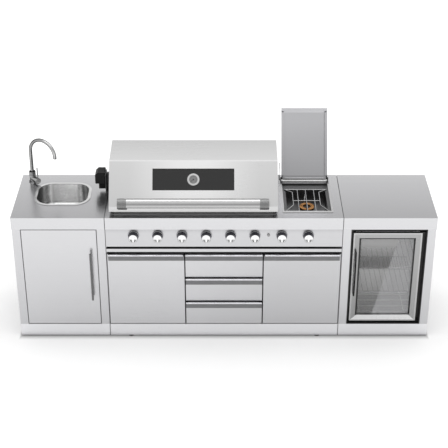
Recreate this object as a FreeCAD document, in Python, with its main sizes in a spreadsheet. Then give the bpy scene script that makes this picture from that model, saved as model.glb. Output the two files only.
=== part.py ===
import FreeCAD, Part
import os
import re
import Sketcher

# Outdoor kitchen island: a sink cabinet, a grill cabinet and a fridge cabinet in one row.
# Millimetres. X runs to the right, Y to the back, Z up. The origin is on the floor,
# under the middle of the worktop. The hood is shut and the side burner's lid stands open.

doc = FreeCAD.newDocument("outdoor_kitchen")
sheet = doc.addObject("Spreadsheet::Sheet", "Dims")
Vector = FreeCAD.Vector

DIMENSIONS = (
    # the whole island
    ("worktop_top", 915),
    ("worktop_depth", 600),
    ("grill_module", 1530),
    ("side_module", 600),
    ("seam_gap", 2),
    ("top_sheet", 3),
    ("lip_height", 84),
    ("lip_hem", 30),
    ("cabinet_setback", 10),
    ("side_setback", 1),
    ("steel", 2),
    ("seat_gap", 0.3),
    # cabinets and feet
    ("floor_gap", 6),
    ("plinth_top", 95),
    ("stile_width", 54),
    ("stile_depth", 22),
    ("top_rail", 6),
    ("partition", 5),
    ("partition_middle", 255.5),
    ("partition_setback", 20),
    ("foot_radius", 22),
    ("foot_disc", 5),
    ("foot_stem", 6),
    ("foot_inset", 60),
    ("grill_foot_inset", 140),
    ("foot_depth_inset", 55),
    ("grill_foot_depth_inset", 18),
    ("bolt_radius", 4),
    ("bolt_head_radius", 8),
    ("bolt_head", 5),
    ("bolt_inset", 60),
    # doors and drawers
    ("door_gap", 3),
    ("door_thick", 20),
    ("hinge_inset", 20),
    ("hinge_radius", 4),
    ("hinge_reach", 12),
    ("hole_gap", 0.3),
    ("fronts_top", 642),
    ("front_gap", 9),
    ("mullion_gap", 4),
    ("pull_rise", 51),
    ("pull_reach", 22),
    ("pull_trim", 6),
    ("door_skin", 2),
    ("door_border", 28),
    ("pivot_inset", 60),
    ("groove_setback", 8),
    ("groove_width", 18),
    ("groove_depth", 16),
    ("rail_bottom", 658),
    ("rail_height", 23),
    ("runner_thick", 12),
    ("runner_height", 40),
    ("runner_rise", 60),
    ("drawer_box_rise", 22),
    ("drawer_box_height", 112),
    ("drawer_box_length", 480),
    ("bar_radius", 7),
    ("bar_reach", 34),
    ("bar_bottom", 308),
    ("bar_length", 354),
    ("bar_from_edge", 50),
    ("bar_post_inset", 26),
    # sink and tap
    ("sink_left", -1230),
    ("sink_length", 334),
    ("sink_front", -115),
    ("sink_width", 280),
    ("sink_corner", 92),
    ("sink_rim", 18),
    ("sink_rim_height", 3),
    ("sink_depth", 150),
    ("sink_floor_round", 24),
    ("sink_steel", 2),
    ("drain_radius", 26),
    ("strainer_radius", 40),
    ("tail_radius", 20),
    ("trap_radius", 34),
    ("trap_height", 110),
    ("waste_radius", 16),
    ("waste_pipe_radius", 14),
    ("waste_stub", 15),
    ("tap_x", -1285),
    ("tap_y", 205),
    ("tap_radius", 20),
    ("tap_base_radius", 26),
    ("tap_base", 6),
    ("tap_body_top", 964),
    ("tap_shank_radius", 16),
    ("tap_shank", 60),
    ("tap_nut_radius", 26),
    ("tap_nut", 12),
    ("tap_collar", 29),
    ("tube_radius", 11),
    ("neck_radius", 100),
    ("neck_top", 1144),
    ("spout_turn", 30),
    ("spout_drop", 5),
    ("cartridge_turn", 50),
    ("cartridge_height", 943),
    ("cartridge_radius", 18),
    ("cartridge_reach", 58),
    ("cap_radius", 20),
    ("cap_thick", 12),
    ("lever_radius", 4),
    ("lever_top", 1041),
    # control panel, knobs and gas pipe
    ("panel_bottom", 698),
    ("panel_return", 36),
    ("knob_drop", 51),
    ("knob_first", -583.5),
    ("knob_pitch", 156.5),
    ("rear_knob", 372),
    ("side_knob", 543),
    ("bezel_radius", 37),
    ("bezel_face_radius", 34),
    ("bezel_thick", 8),
    ("bezel_bore", 12),
    ("knob_radius", 31),
    ("knob_face_radius", 29),
    ("knob_length", 32),
    ("knob_pocket_radius", 24),
    ("knob_pocket", 7),
    ("knob_grip", 11),
    ("stem_radius", 4),
    ("stem_in_knob", 16),
    ("igniter_x", 287),
    ("igniter_rise", 6),
    ("igniter_radius", 9),
    ("igniter_out", 8),
    ("igniter_stem_radius", 4),
    ("igniter_stem", 8),
    ("pipe_radius", 11),
    ("pipe_back", 26),
    ("valve_size", 26),
    ("valve_reach", 2),
    ("inlet_x", 640),
    ("inlet_stub", 15),
    ("inlet_pipe_radius", 9),
    # firebox and what is in it
    ("firebox_left", -706),
    ("firebox_length", 1020),
    ("firebox_depth", 464),
    ("firebox_bottom", 700),
    ("firebox_steel", 3),
    ("firebox_flange", 18),
    ("flange_thick", 3),
    ("cutout_gap", 2),
    ("rim_shelf", 22),
    ("ledge_height", 885),
    ("ledge_front", 20),
    ("ledge_back", 42),
    ("grease_hole", 45),
    ("burner_radius", 13),
    ("tamer_half_width", 42),
    ("tamer_peak", 850),
    ("tamer_drop", 34),
    ("grate_count", 3),
    ("grate_gap", 4),
    ("grate_bar", 4),
    ("grate_bars", 13),
    ("rear_burner_left", -560),
    ("rear_burner_length", 730),
    ("rear_burner_thick", 24),
    ("rear_burner_top", 1040),
    ("rack_height", 1080),
    ("rack_front", 112),
    ("rack_depth", 84),
    ("rack_wire", 3.5),
    ("rack_bars", 6),
    ("tray_height", 24),
    ("tray_inset", 14),
    ("tray_steel", 1.5),
    ("tray_back", 300),
    ("tray_rail", 12),
    # hood
    ("hood_left", -736),
    ("hood_length", 1080),
    ("hood_bottom", 940),
    ("hood_steel", 2),
    ("hood_front", -262),
    ("hood_lip", 38),
    ("hood_crease_y", -84),
    ("hood_crease_z", 1219),
    ("hood_top_y", 174),
    ("hood_top_z", 1238),
    ("hood_shoulder_y", 226),
    ("hood_shoulder_z", 1206),
    ("hood_back", 240),
    ("hood_flange", 36),
    ("hood_hinge_y", 248),
    ("hood_hinge_z", 934),
    ("knuckle_radius", 6),
    ("knuckle_length", 40),
    ("knuckle_pin", 3),
    ("knuckle_inset", 120),
    ("window_length", 524),
    ("window_height", 141),
    ("window_rise", 105),
    ("window_glass", 4),
    ("window_lap", 12),
    ("window_reveal", 10),
    ("gauge_radius", 39),
    ("gauge_dial_radius", 27),
    ("gauge_thick", 9),
    ("gauge_recess", 3),
    ("gauge_stem_radius", 5),
    ("gauge_stem", 70),
    ("hood_bar_inset", 58),
    ("hood_bar_rise", 13.5),
    ("hood_bar_reach", 52),
    ("hood_bar_half_height", 31),
    ("hood_bar_half_depth", 18),
    ("hood_bar_wall", 3),
    ("hood_post", 58),
    ("hood_post_half_height", 32),
    ("hood_post_sink", 22),
    # rotisserie
    ("spit_y", 85),
    ("spit_z", 1020),
    ("spit_radius", 5),
    ("fork_length", 90),
    ("fork_hub", 8),
    ("fork_tine_radius", 3),
    ("fork_tine_offset", 20),
    ("fork_from_middle", 240),
    ("notch_half", 10),
    ("notch_front", 27),
    ("motor_left", -848),
    ("motor_length", 66),
    ("motor_front", 40),
    ("motor_depth", 90),
    ("motor_bottom", 982),
    ("motor_top", 1063),
    ("motor_chamfer", 18),
    ("motor_step_inset", 23),
    ("motor_step", 37),
    ("motor_step_depth", 70),
    ("motor_round", 6),
    ("motor_socket", 14),
    ("bracket_length", 26),
    ("bracket_thick", 6),
    ("bracket_half", 12),
    # side burner
    ("bowl_left", 388),
    ("bowl_length", 304),
    ("bowl_front", -208),
    ("bowl_width", 376),
    ("bowl_flange", 11),
    ("bowl_flange_front", 21),
    ("bowl_flange_back", 40),
    ("bowl_step", 6),
    ("bowl_side_ledge", 20),
    ("bowl_front_ledge", 14),
    ("bowl_back_ledge", 82),
    ("bowl_slope", 8),
    ("bowl_depth", 60),
    ("upstand_height", 12),
    ("side_burner_y", -105),
    ("side_ring_radius", 48),
    ("side_ring_height", 16),
    ("side_base_radius", 40),
    ("side_base_height", 24),
    ("side_boss_radius", 26),
    ("wire_radius", 3),
    ("wire_thinner", 0.2),
    ("wire_weld", 0.1),
    ("wire_pitch", 54),
    ("wire_side", 88),
    ("wire_corner", 138),
    ("wire_back", 92),
    ("wire_back_bend", 55),
    ("wire_middle", -62),
    ("wire_front_bend", -120),
    ("wire_front", -202),
    ("lid_length", 308),
    ("lid_hinge_back", 47),
    ("lid_hinge_z", 932),
    ("lid_cover", 69),
    ("lid_nose", 28),
    ("lid_nose_drop", 13),
    ("lid_steel", 2),
    ("lid_flange", 13),
    ("lid_hem", 17),
    ("lid_hem_thick", 1.5),
    ("lid_ear", 10),
    ("lid_start", 8),
    ("lid_open", 120),
    ("lid_pin", 3),
    ("hinge_block", 7),
    ("stay_x", 374),
    ("stay_y", 290),
    ("stay_top", 1013),
    ("stay_radius", 2),
    # fridge
    ("fridge_front", -250),
    ("fridge_back", 262),
    ("fridge_wall", 32),
    ("fridge_top_gap", 2),
    ("fridge_door_left", 838),
    ("fridge_door_length", 443),
    ("fridge_door_bottom", 112),
    ("fridge_door_drop", 33),
    ("fridge_door_thick", 19),
    ("seal_thick", 6),
    ("seal_width", 12),
    ("seal_inset", 16),
    ("frame_left", 38),
    ("frame_right", 41),
    ("frame_bottom", 46),
    ("frame_top", 37),
    ("frame_step", 14),
    ("pane_lap", 10),
    ("fridge_pivot_inset", 8),
    ("fridge_pivot_depth", 13),
    ("fridge_bracket_thick", 4),
    ("fridge_bar_radius", 5),
    ("fridge_bar_reach", 28),
    ("fridge_bar_bottom", 330),
    ("fridge_bar_length", 326),
    ("fridge_bar_inset", 18),
    ("fridge_bar_bow", 12),
    ("hump_depth", 170),
    ("hump_height", 175),
    ("shelf_wire", 2),
    ("shelf_bar", 3),
    ("shelf_bars", 13),
    ("shelf_first", 305),
    ("shelf_pitch", 190),
    ("shelf_count", 2),
    ("shelf_front_gap", 20),
    ("shelf_rest", 8),
)

for row, (alias, size) in enumerate(DIMENSIONS, start=1):
    sheet.set(f"A{row}", alias)
    sheet.set(f"B{row}", str(size))
    sheet.setAlias(f"B{row}", alias)
doc.recompute()
ALIASES = {alias for alias, size in DIMENSIONS}


def size(alias):
    """The number that the sheet holds for one driving size."""
    return float(getattr(sheet, alias))


def linked(text):
    """Point each driving size in an expression at its cell."""
    return re.sub(r"[a-z][a-z_]*",
                  lambda word: "Dims." + word[0] if word[0] in ALIASES else word[0], str(text))


def bind(thing, **places):
    for name, text in places.items():
        thing.setExpression(name.replace("__", "."), linked(text))


# Places that several pieces share, written from the driving sizes.
FRONT = "(-worktop_depth / 2)"
BACK = "(worktop_depth / 2)"
LIP_BOTTOM = "(worktop_top - lip_height)"
BODY_FRONT = "(cabinet_setback - worktop_depth / 2)"
BODY_BACK = "(worktop_depth / 2 - cabinet_setback)"
SEAM = "(grill_module / 2)"
END = "(grill_module / 2 + side_module)"
INNER_FRONT = f"({BODY_FRONT} + steel)"
DOOR_BACK = f"({BODY_FRONT} + door_thick)"
PULL_FRONT = f"({BODY_FRONT} - pull_reach)"
FRONTS_BOTTOM = "(plinth_top + door_gap)"
DRAWER_HEIGHT = f"((fronts_top - {FRONTS_BOTTOM} - 2 * front_gap) / 3)"
KNOB_Z = f"({LIP_BOTTOM} - knob_drop)"
IGNITER_Z = f"({KNOB_Z} + igniter_rise)"
KNOB_START = f"({BODY_FRONT} - bezel_thick - seat_gap)"
PIPE_Y = f"({BODY_FRONT} + steel + pipe_back)"
VALVE_BACK = f"({PIPE_Y} + pipe_radius + valve_reach)"
FIREBOX_FRONT = "(-firebox_depth / 2)"
FIREBOX_BACK = "(firebox_depth / 2)"
FIREBOX_RIGHT = "(firebox_left + firebox_length)"
FIREBOX_TOP = "(hood_bottom - seat_gap)"
HOOD_MIDDLE = "(hood_left + hood_length / 2)"
BOWL_MIDDLE = "(bowl_left + bowl_length / 2)"
BOWL_BACK = "(bowl_front + bowl_width)"
RIM_TOP = "(worktop_top + flange_thick)"
LID_HINGE_Y = f"({BOWL_BACK} + lid_hinge_back)"
LID_REACH = "(bowl_width + lid_cover)"
SINK_BACK = "(sink_front + sink_width)"
SINK_X = "(sink_left + sink_length / 2)"
SINK_Y = "(sink_front + sink_width / 2)"
SINK_FLOOR = "(worktop_top - sink_depth)"

TURNS = {
    "z": FreeCAD.Rotation(),
    "x": FreeCAD.Rotation(Vector(0, 1, 0), 90),
    "y": FreeCAD.Rotation(Vector(1, 0, 0), -90),
    "-y": FreeCAD.Rotation(Vector(1, 0, 0), 90),
    "-z": FreeCAD.Rotation(Vector(1, 0, 0), 180),
}
PLANES = {"XY": "XY_Plane", "XZ": "XZ_Plane", "YZ": "YZ_Plane"}
nodes = []


def labelled(kind, label):
    thing = doc.addObject(kind, label)
    thing.Label = label
    return thing


def block(label, x, y, z, length, depth, height):
    """A box from its lowest corner."""
    box = labelled("Part::Box", label)
    bind(box, Length=length, Width=depth, Height=height)
    bind(box, Placement__Base__x=x, Placement__Base__y=y, Placement__Base__z=z)
    return box


def span(label, x, y, z):
    """A box from three (low, high) pairs."""
    (x_low, x_high), (y_low, y_high), (z_low, z_high) = x, y, z
    return block(label, x_low, y_low, z_low, f"{x_high} - ({x_low})",
                 f"{y_high} - ({y_low})", f"{z_high} - ({z_low})")


def rod(label, axis, x, y, z, radius, length):
    """A cylinder that starts at a point and runs along one axis."""
    cylinder = labelled("Part::Cylinder", label)
    cylinder.Placement.Rotation = TURNS[axis]
    bind(cylinder, Radius=radius, Height=length)
    bind(cylinder, Placement__Base__x=x, Placement__Base__y=y, Placement__Base__z=z)
    return cylinder


def taper(label, axis, x, y, z, radius, end_radius, length):
    cone = labelled("Part::Cone", label)
    cone.Placement.Rotation = TURNS[axis]
    bind(cone, Radius1=radius, Radius2=end_radius, Height=length)
    bind(cone, Placement__Base__x=x, Placement__Base__y=y, Placement__Base__z=z)
    return cone


def joined(label, pieces):
    """Pieces that are welded or moulded into one solid."""
    union = labelled("Part::MultiFuse", label)
    union.Shapes = pieces
    union.Refine = True
    return union


def grouped(label, pieces):
    """Like pieces that stay separate solids."""
    group = labelled("Part::Compound", label)
    group.Links = pieces
    return group


def without(label, base, tools):
    """A piece with its holes and hollows cut out."""
    cut = labelled("Part::Cut", label)
    cut.Base = base
    cut.Tool = tools[0] if len(tools) == 1 else grouped(label + "_tools", tools)
    cut.Refine = True
    return cut


def prism(label, plane, outline, length, x="0", y="0", z="0"):
    """A straight-sided outline padded along its plane's normal; XZ grows towards -Y."""
    body = labelled("PartDesign::Body", label)
    origin_plane = [o for o in body.Origin.OriginFeatures if o.Role == PLANES[plane]][0]
    sketch = body.newObject("Sketcher::SketchObject", label + "_outline")
    sketch.AttachmentSupport = [(origin_plane, "")]
    sketch.MapMode = "FlatFace"
    count = len(outline)
    for i in range(count):
        sketch.addGeometry(Part.LineSegment(Vector(i, i * i, 0), Vector(i + 1, (i + 1) ** 2, 0)), False)
    for i in range(count):
        sketch.addConstraint(Sketcher.Constraint("Coincident", i, 2, (i + 1) % count, 1))
    for i, (across, up) in enumerate(outline):
        for kind, text in (("DistanceX", across), ("DistanceY", up)):
            place = sketch.addConstraint(Sketcher.Constraint(kind, -1, 1, i, 1, 1.0))
            sketch.setExpression(f"Constraints[{place}]", linked(text))
    pad = body.newObject("PartDesign::Pad", label + "_pad")
    pad.Profile = sketch
    bind(pad, Length=length)
    bind(body, Placement__Base__x=x, Placement__Base__y=y, Placement__Base__z=z)
    doc.recompute()
    return body


def along(edge, axis):
    return edge.Curve.TypeId == "Part::GeomLine" and abs(abs(edge.Curve.Direction.dot(axis)) - 1) < 1e-6


def rounded(body, radius, wanted):
    """Round the edges that the test picks."""
    base = body.Tip
    edges = [f"Edge{i}" for i, edge in enumerate(base.Shape.Edges, start=1) if wanted(edge)]
    fillet = body.newObject("PartDesign::Fillet", body.Label + "_round")
    fillet.Base = (base, edges)
    bind(fillet, Radius=radius)
    doc.recompute()
    return body


def rounded_slab(label, x, y, z, radius):
    """A slab with upright corners of one radius, from three (low, high) pairs."""
    outline = [(x[0], y[0]), (x[1], y[0]), (x[1], y[1]), (x[0], y[1])]
    slab = prism(label, "XY", outline, f"{z[1]} - ({z[0]})", z=z[0])
    return rounded(slab, radius, lambda edge: along(edge, Vector(0, 0, 1)))


def node(thing):
    """Mark a finished sub-part; its label names its file."""
    nodes.append(thing)
    return thing


# Cabinets


def seam_bolts():
    """Bolts through the side sheets where two cabinets meet."""
    places = []
    for side, sign in (("left", "-1"), ("right", "1")):
        for level in (f"{LIP_BOTTOM} - bolt_inset", "plinth_top + bolt_inset"):
            for depth in (f"{BODY_FRONT} + bolt_inset", f"{BODY_BACK} - bolt_inset"):
                places.append((f"{side}_{len(places)}", f"{sign} * {SEAM}", depth, level))
    return places


def bolt_holes(label):
    return [rod(f"{label}_{name}", "x", f"{x} - 4 * steel", y, z, "bolt_radius + hole_gap", "8 * steel")
            for name, x, y, z in seam_bolts()]


def cabinet(label, left, right, extras):
    """Side sheets, floor and plinth of one cabinet, with its own front pieces."""
    inside = (f"{left} + steel", f"{right} - steel")
    depth = (BODY_FRONT, f"{BODY_BACK} - steel")
    pieces = [
        span(label + "_left_sheet", (left, inside[0]), depth, ("floor_gap", LIP_BOTTOM)),
        span(label + "_right_sheet", (inside[1], right), depth, ("floor_gap", LIP_BOTTOM)),
        span(label + "_floor", inside, depth, ("plinth_top - steel", "plinth_top")),
        span(label + "_plinth", inside, (BODY_FRONT, INNER_FRONT), ("floor_gap", "plinth_top")),
    ]
    shell = joined(label + "_shell", pieces + extras)
    return node(without(label, shell, bolt_holes(label + "_hole")))


def stile(label, low, high, hinge_side):
    """A folded upright beside a cabinet opening, open to the back."""
    tall = ("plinth_top", LIP_BOTTOM)
    inner = (f"{high} - steel", high) if hinge_side == "left" else (low, f"{low} + steel")
    return [
        span(label + "_face", (low, high), (BODY_FRONT, INNER_FRONT), tall),
        span(label + "_return", inner, (BODY_FRONT, f"{BODY_FRONT} + stile_depth"), tall),
    ]


def side_cabinet(label, left, right):
    rail = span(label + "_rail", (left, right), (BODY_FRONT, f"{BODY_FRONT} + stile_depth"),
                (f"{LIP_BOTTOM} - top_rail", LIP_BOTTOM))
    left_stile = stile(label + "_left_stile", left, f"{left} + stile_width - side_setback", "left")
    right_stile = stile(label + "_right_stile", f"{right} - stile_width + side_setback", right, "right")
    cabinet(label, left, right, left_stile + right_stile + [rail])


def grill_cabinet():
    left = f"(side_setback - {SEAM})"
    right = f"({SEAM} - side_setback)"
    inside = (f"{left} + steel", f"{right} - steel")
    extras = [span("grill_rail", inside, (BODY_FRONT, f"{BODY_FRONT} + stile_depth"),
                   ("rail_bottom", "rail_bottom + rail_height"))]
    for side, sign in (("left", -1), ("right", 1)):
        extras.append(block(f"{side}_partition", f"{sign} * partition_middle - partition / 2",
                            f"{BODY_FRONT} + partition_setback", "plinth_top", "partition",
                            f"{BODY_BACK} - steel - ({BODY_FRONT} + partition_setback)",
                            "rail_bottom - plinth_top"))
    cabinet("grill_cabinet", left, right, extras)


def back_panels():
    """Three back sheets, with holes for the waste pipe, the gas pipe and the grease tray."""
    depth = (f"{BODY_BACK} - steel", BODY_BACK)
    tall = ("floor_gap", LIP_BOTTOM)
    inset = "side_setback"
    sink = span("sink_back_sheet", (f"{inset} - {END}", f"-{SEAM} - {inset}"), depth, tall)
    grill = span("grill_back_sheet", (f"{inset} - {SEAM}", f"{SEAM} - {inset}"), depth, tall)
    fridge = span("fridge_back_sheet", (f"{SEAM} + {inset}", f"{END} - {inset}"), depth, tall)
    waste = rod("waste_hole", "y", SINK_X, f"{BODY_BACK} - 2 * steel", WASTE_Z,
                "waste_radius + 4 * hole_gap", "4 * steel")
    gas = rod("gas_hole", "y", "inlet_x", f"{BODY_BACK} - 2 * steel", KNOB_Z,
              "pipe_radius + 4 * hole_gap", "4 * steel")
    slot = span("tray_slot", (f"firebox_left + tray_inset - 2 * cutout_gap",
                              f"{FIREBOX_RIGHT} - tray_inset + 2 * cutout_gap"),
                (f"{BODY_BACK} - 2 * steel", f"{BODY_BACK} + steel"),
                (f"{TRAY_BOTTOM} - cutout_gap", "firebox_bottom"))
    node(grouped("back_panels", [without("sink_back", sink, [waste]),
                                 without("grill_back", grill, [gas, slot]), fridge]))


def feet():
    """Levelling feet: a disc on the floor and a stem up to the cabinet floor. The grill's show in front."""
    front = f"({BODY_FRONT} + foot_depth_inset)"
    back = f"({BODY_BACK} - foot_depth_inset)"
    rows = [f"foot_inset - {END}", f"-{SEAM} - foot_inset", f"{SEAM} + foot_inset", f"{END} - foot_inset"]
    grill_rows = [f"grill_foot_inset - {SEAM}", f"{SEAM} - grill_foot_inset"]
    places = [(x, y) for x in rows for y in (front, back)] + [("0", "0")]
    places += [(x, y) for x in grill_rows for y in (f"({BODY_FRONT} + grill_foot_depth_inset)", back)]
    pieces = []
    for i, (x, y) in enumerate(places):
        disc = rod(f"foot_disc_{i}", "z", x, y, "0", "foot_radius", "foot_disc")
        stem = rod(f"foot_stem_{i}", "z", x, y, "foot_disc", "foot_stem", "plinth_top - steel - foot_disc")
        pieces.append(joined(f"foot_{i}", [disc, stem]))
    node(grouped("levelling_feet", pieces))


def module_bolts():
    pieces = []
    grip = "2 * (side_setback + steel)"
    for name, x, y, z in seam_bolts():
        shank = rod(f"bolt_shank_{name}", "x", f"{x} - {grip} / 2", y, z, "bolt_radius", grip)
        head = rod(f"bolt_head_{name}", "x", f"{x} - {grip} / 2 - bolt_head", y, z, "bolt_head_radius",
                   "bolt_head")
        nut = rod(f"bolt_nut_{name}", "x", f"{x} + {grip} / 2", y, z, "bolt_head_radius", "bolt_head")
        pieces.append(joined(f"module_bolt_{name}", [shank, head, nut]))
    node(grouped("module_bolts", pieces))


# Worktops


def worktop(label, left, right, holes):
    """A folded tray: top sheet, lips all round and a hem that sits on the cabinet."""
    outer = span(label + "_outer", (left, right), (FRONT, BACK), (LIP_BOTTOM, "worktop_top"))
    inner = span(label + "_inner", (f"{left} + top_sheet", f"{right} - top_sheet"),
                 (f"{FRONT} + top_sheet", f"{BACK} - top_sheet"),
                 (f"{LIP_BOTTOM} + top_sheet", "worktop_top - top_sheet"))
    mouth = span(label + "_mouth", (f"{left} + lip_hem", f"{right} - lip_hem"),
                 (f"{FRONT} + lip_hem", f"{BACK} - lip_hem"),
                 (f"{LIP_BOTTOM} - 1", f"{LIP_BOTTOM} + 2 * top_sheet"))
    node(without(label, outer, [inner, mouth] + holes))


def worktops():
    half_gap = "seam_gap / 2"
    through = ("worktop_top - 2 * top_sheet", "worktop_top + 1")
    sink_hole = rounded_slab("sink_cutout",
                             ("sink_left - sink_steel - cutout_gap",
                              "sink_left + sink_length + sink_steel + cutout_gap"),
                             ("sink_front - sink_steel - cutout_gap",
                              f"{SINK_BACK} + sink_steel + cutout_gap"),
                             through, "sink_corner + sink_steel + cutout_gap")
    tap_hole = rod("tap_hole", "z", "tap_x", "tap_y", "worktop_top - 2 * top_sheet",
                   "tap_shank_radius + hole_gap", "3 * top_sheet")
    worktop("sink_worktop", f"-{END}", f"(-{SEAM} - {half_gap})", [sink_hole, tap_hole])
    firebox_hole = span("firebox_cutout", ("firebox_left - cutout_gap", f"{FIREBOX_RIGHT} + cutout_gap"),
                        (f"{FIREBOX_FRONT} - cutout_gap", f"{FIREBOX_BACK} + cutout_gap"), through)
    bowl_hole = span("bowl_cutout",
                     ("bowl_left - steel - cutout_gap", "bowl_left + bowl_length + steel + cutout_gap"),
                     ("bowl_front - steel - cutout_gap", f"{BOWL_BACK} + steel + cutout_gap"), through)
    worktop("grill_worktop", f"({half_gap} - {SEAM})", f"({SEAM} - {half_gap})", [firebox_hole, bowl_hole])
    worktop("fridge_worktop", f"({SEAM} + {half_gap})", END, [])


# Doors and drawers

SINK_DOOR_LEFT = f"(-{END} + stile_width + door_gap)"
SINK_DOOR_RIGHT = f"(-{SEAM} - stile_width - door_gap)"
SINK_DOOR_TOP = f"({LIP_BOTTOM} - top_rail - door_gap)"
PIVOT_Y = f"({BODY_FRONT} + door_thick / 2)"
SINK_PIVOT_X = f"({SINK_DOOR_LEFT} + hinge_inset)"
DOOR_OUTER = f"({SEAM} - side_setback - steel - door_gap)"
DOOR_INNER = "(partition_middle + mullion_gap)"
DRAWER_SIDE = "(partition_middle - mullion_gap)"
GRILL_PIVOT_X = f"({DOOR_OUTER} - pivot_inset)"


def pivot_holes(label, x, low, high):
    """Blind holes in the door's lower and upper edge for the hinge pins."""
    deep = "(hinge_reach + hole_gap)"
    return [rod(label + "_low_hole", "z", x, PIVOT_Y, f"{low} - 1", "hinge_radius + hole_gap",
                f"{deep} + 1"),
            rod(label + "_high_hole", "z", x, PIVOT_Y, f"{high} - {deep}", "hinge_radius + hole_gap",
                f"{deep} + 1")]


def skin_hollow(label, left, right, low, top):
    """The sealed space between the two skins of a door or a drawer front."""
    return span(label + "_hollow", (f"{left} + door_border", f"{right} - door_border"),
                (f"{BODY_FRONT} + door_skin", f"{DOOR_BACK} - door_skin"), (f"{low} + door_border", top))


def sink_door():
    panel = span("sink_door_panel", (SINK_DOOR_LEFT, SINK_DOOR_RIGHT), (BODY_FRONT, DOOR_BACK),
                 (FRONTS_BOTTOM, SINK_DOOR_TOP))
    hollow = skin_hollow("sink_door", SINK_DOOR_LEFT, SINK_DOOR_RIGHT, FRONTS_BOTTOM,
                         f"({SINK_DOOR_TOP} - door_border)")
    holes = pivot_holes("sink_door", SINK_PIVOT_X, FRONTS_BOTTOM, SINK_DOOR_TOP)
    node(without("sink_door", panel, holes + [hollow]))


def sink_door_handle():
    """A round bar on two posts."""
    x = f"{SINK_DOOR_RIGHT} - bar_from_edge + bar_radius"
    y = f"{BODY_FRONT} - bar_reach"
    bar = rod("sink_bar", "z", x, y, "bar_bottom", "bar_radius", "bar_length")
    posts = [rod(f"sink_bar_post_{i}", "y", x, y, z, "0.8 * bar_radius", "bar_reach")
             for i, z in enumerate(("bar_bottom + bar_post_inset",
                                    "bar_bottom + bar_length - bar_post_inset"))]
    node(joined("sink_door_handle", [bar] + posts))


def front_panel(label, left, right, low, high, holes):
    """A front whose top edge leans out into a full-width pull, with a finger groove behind it."""
    outline = [(DOOR_BACK, low), (BODY_FRONT, low), (BODY_FRONT, f"{high} - pull_rise"), (PULL_FRONT, high),
               (DOOR_BACK, high)]
    panel = prism(label + "_panel", "YZ", outline, f"{right} - ({left})", x=left)
    groove = span(label + "_groove", (f"{left} + groove_setback", f"{right} - groove_setback"),
                  (f"{PULL_FRONT} + groove_setback", f"{PULL_FRONT} + groove_setback + groove_width"),
                  (f"{high} - groove_depth", f"{high} + 1"))
    hollow = skin_hollow(label, left, right, low, f"({high} - pull_rise)")
    return without(label, panel, [groove, hollow] + holes)


def grill_doors():
    low = FRONTS_BOTTOM
    high = "fronts_top"
    for label, left, right, pivot in (("left_door", f"(-{DOOR_OUTER})", f"(-{DOOR_INNER})",
                                       f"(-{GRILL_PIVOT_X})"),
                                      ("right_door", DOOR_INNER, DOOR_OUTER, GRILL_PIVOT_X)):
        lower = rod(label + "_low_hole", "z", pivot, PIVOT_Y, f"{low} - 1", "hinge_radius + hole_gap",
                    "hinge_reach + hole_gap + 1")
        upper = rod(label + "_high_hole", "z", pivot, PIVOT_Y, f"{high} - hinge_reach - hole_gap",
                    "hinge_radius + hole_gap", "hinge_reach + hole_gap + 1")
        corner = (left, f"{left} + pull_trim") if label == "left_door" else (f"{right} - pull_trim", right)
        trim = span(label + "_trim", corner, (f"{PULL_FRONT} - 1", BODY_FRONT),
                    (f"{high} - pull_rise", f"{high} + 1"))
        node(front_panel(label, left, right, low, high, [lower, upper, trim]))


def drawers():
    """Three drawers: a front with its pull and a folded box behind it."""
    half = "(partition_middle - partition / 2 - runner_thick - seat_gap)"
    for i, name in enumerate(("top_drawer", "middle_drawer", "bottom_drawer")):
        low = f"(fronts_top - {i + 1} * {DRAWER_HEIGHT} - {i} * front_gap)"
        high = f"({low} + {DRAWER_HEIGHT})"
        front = front_panel(name + "_front", f"(-{DRAWER_SIDE})", DRAWER_SIDE, low, high, [])
        bottom = f"({low} + drawer_box_rise)"
        back = f"({DOOR_BACK} + drawer_box_length)"
        outer = span(name + "_box_outer", (f"-{half}", half), (DOOR_BACK, back),
                     (bottom, f"{bottom} + drawer_box_height"))
        inner = span(name + "_box_inner", (f"steel - {half}", f"{half} - steel"),
                     (f"{DOOR_BACK} + steel", f"{back} - steel"),
                     (f"{bottom} + steel", f"{bottom} + drawer_box_height + 1"))
        box = without(name + "_box", outer, [inner])
        node(joined(name, [front, box]))


def drawer_runners():
    pieces = []
    length = "(drawer_box_length - 2 * steel)"
    for i in range(3):
        level = f"fronts_top - {i + 1} * {DRAWER_HEIGHT} - {i} * front_gap + runner_rise"
        for side, x in (("left", "partition / 2 - partition_middle"),
                        ("right", "partition_middle - partition / 2 - runner_thick")):
            pieces.append(block(f"runner_{i}_{side}", x, f"{DOOR_BACK} + steel", level, "runner_thick",
                                length,
                                "runner_height"))
    node(grouped("drawer_runners", pieces))


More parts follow.
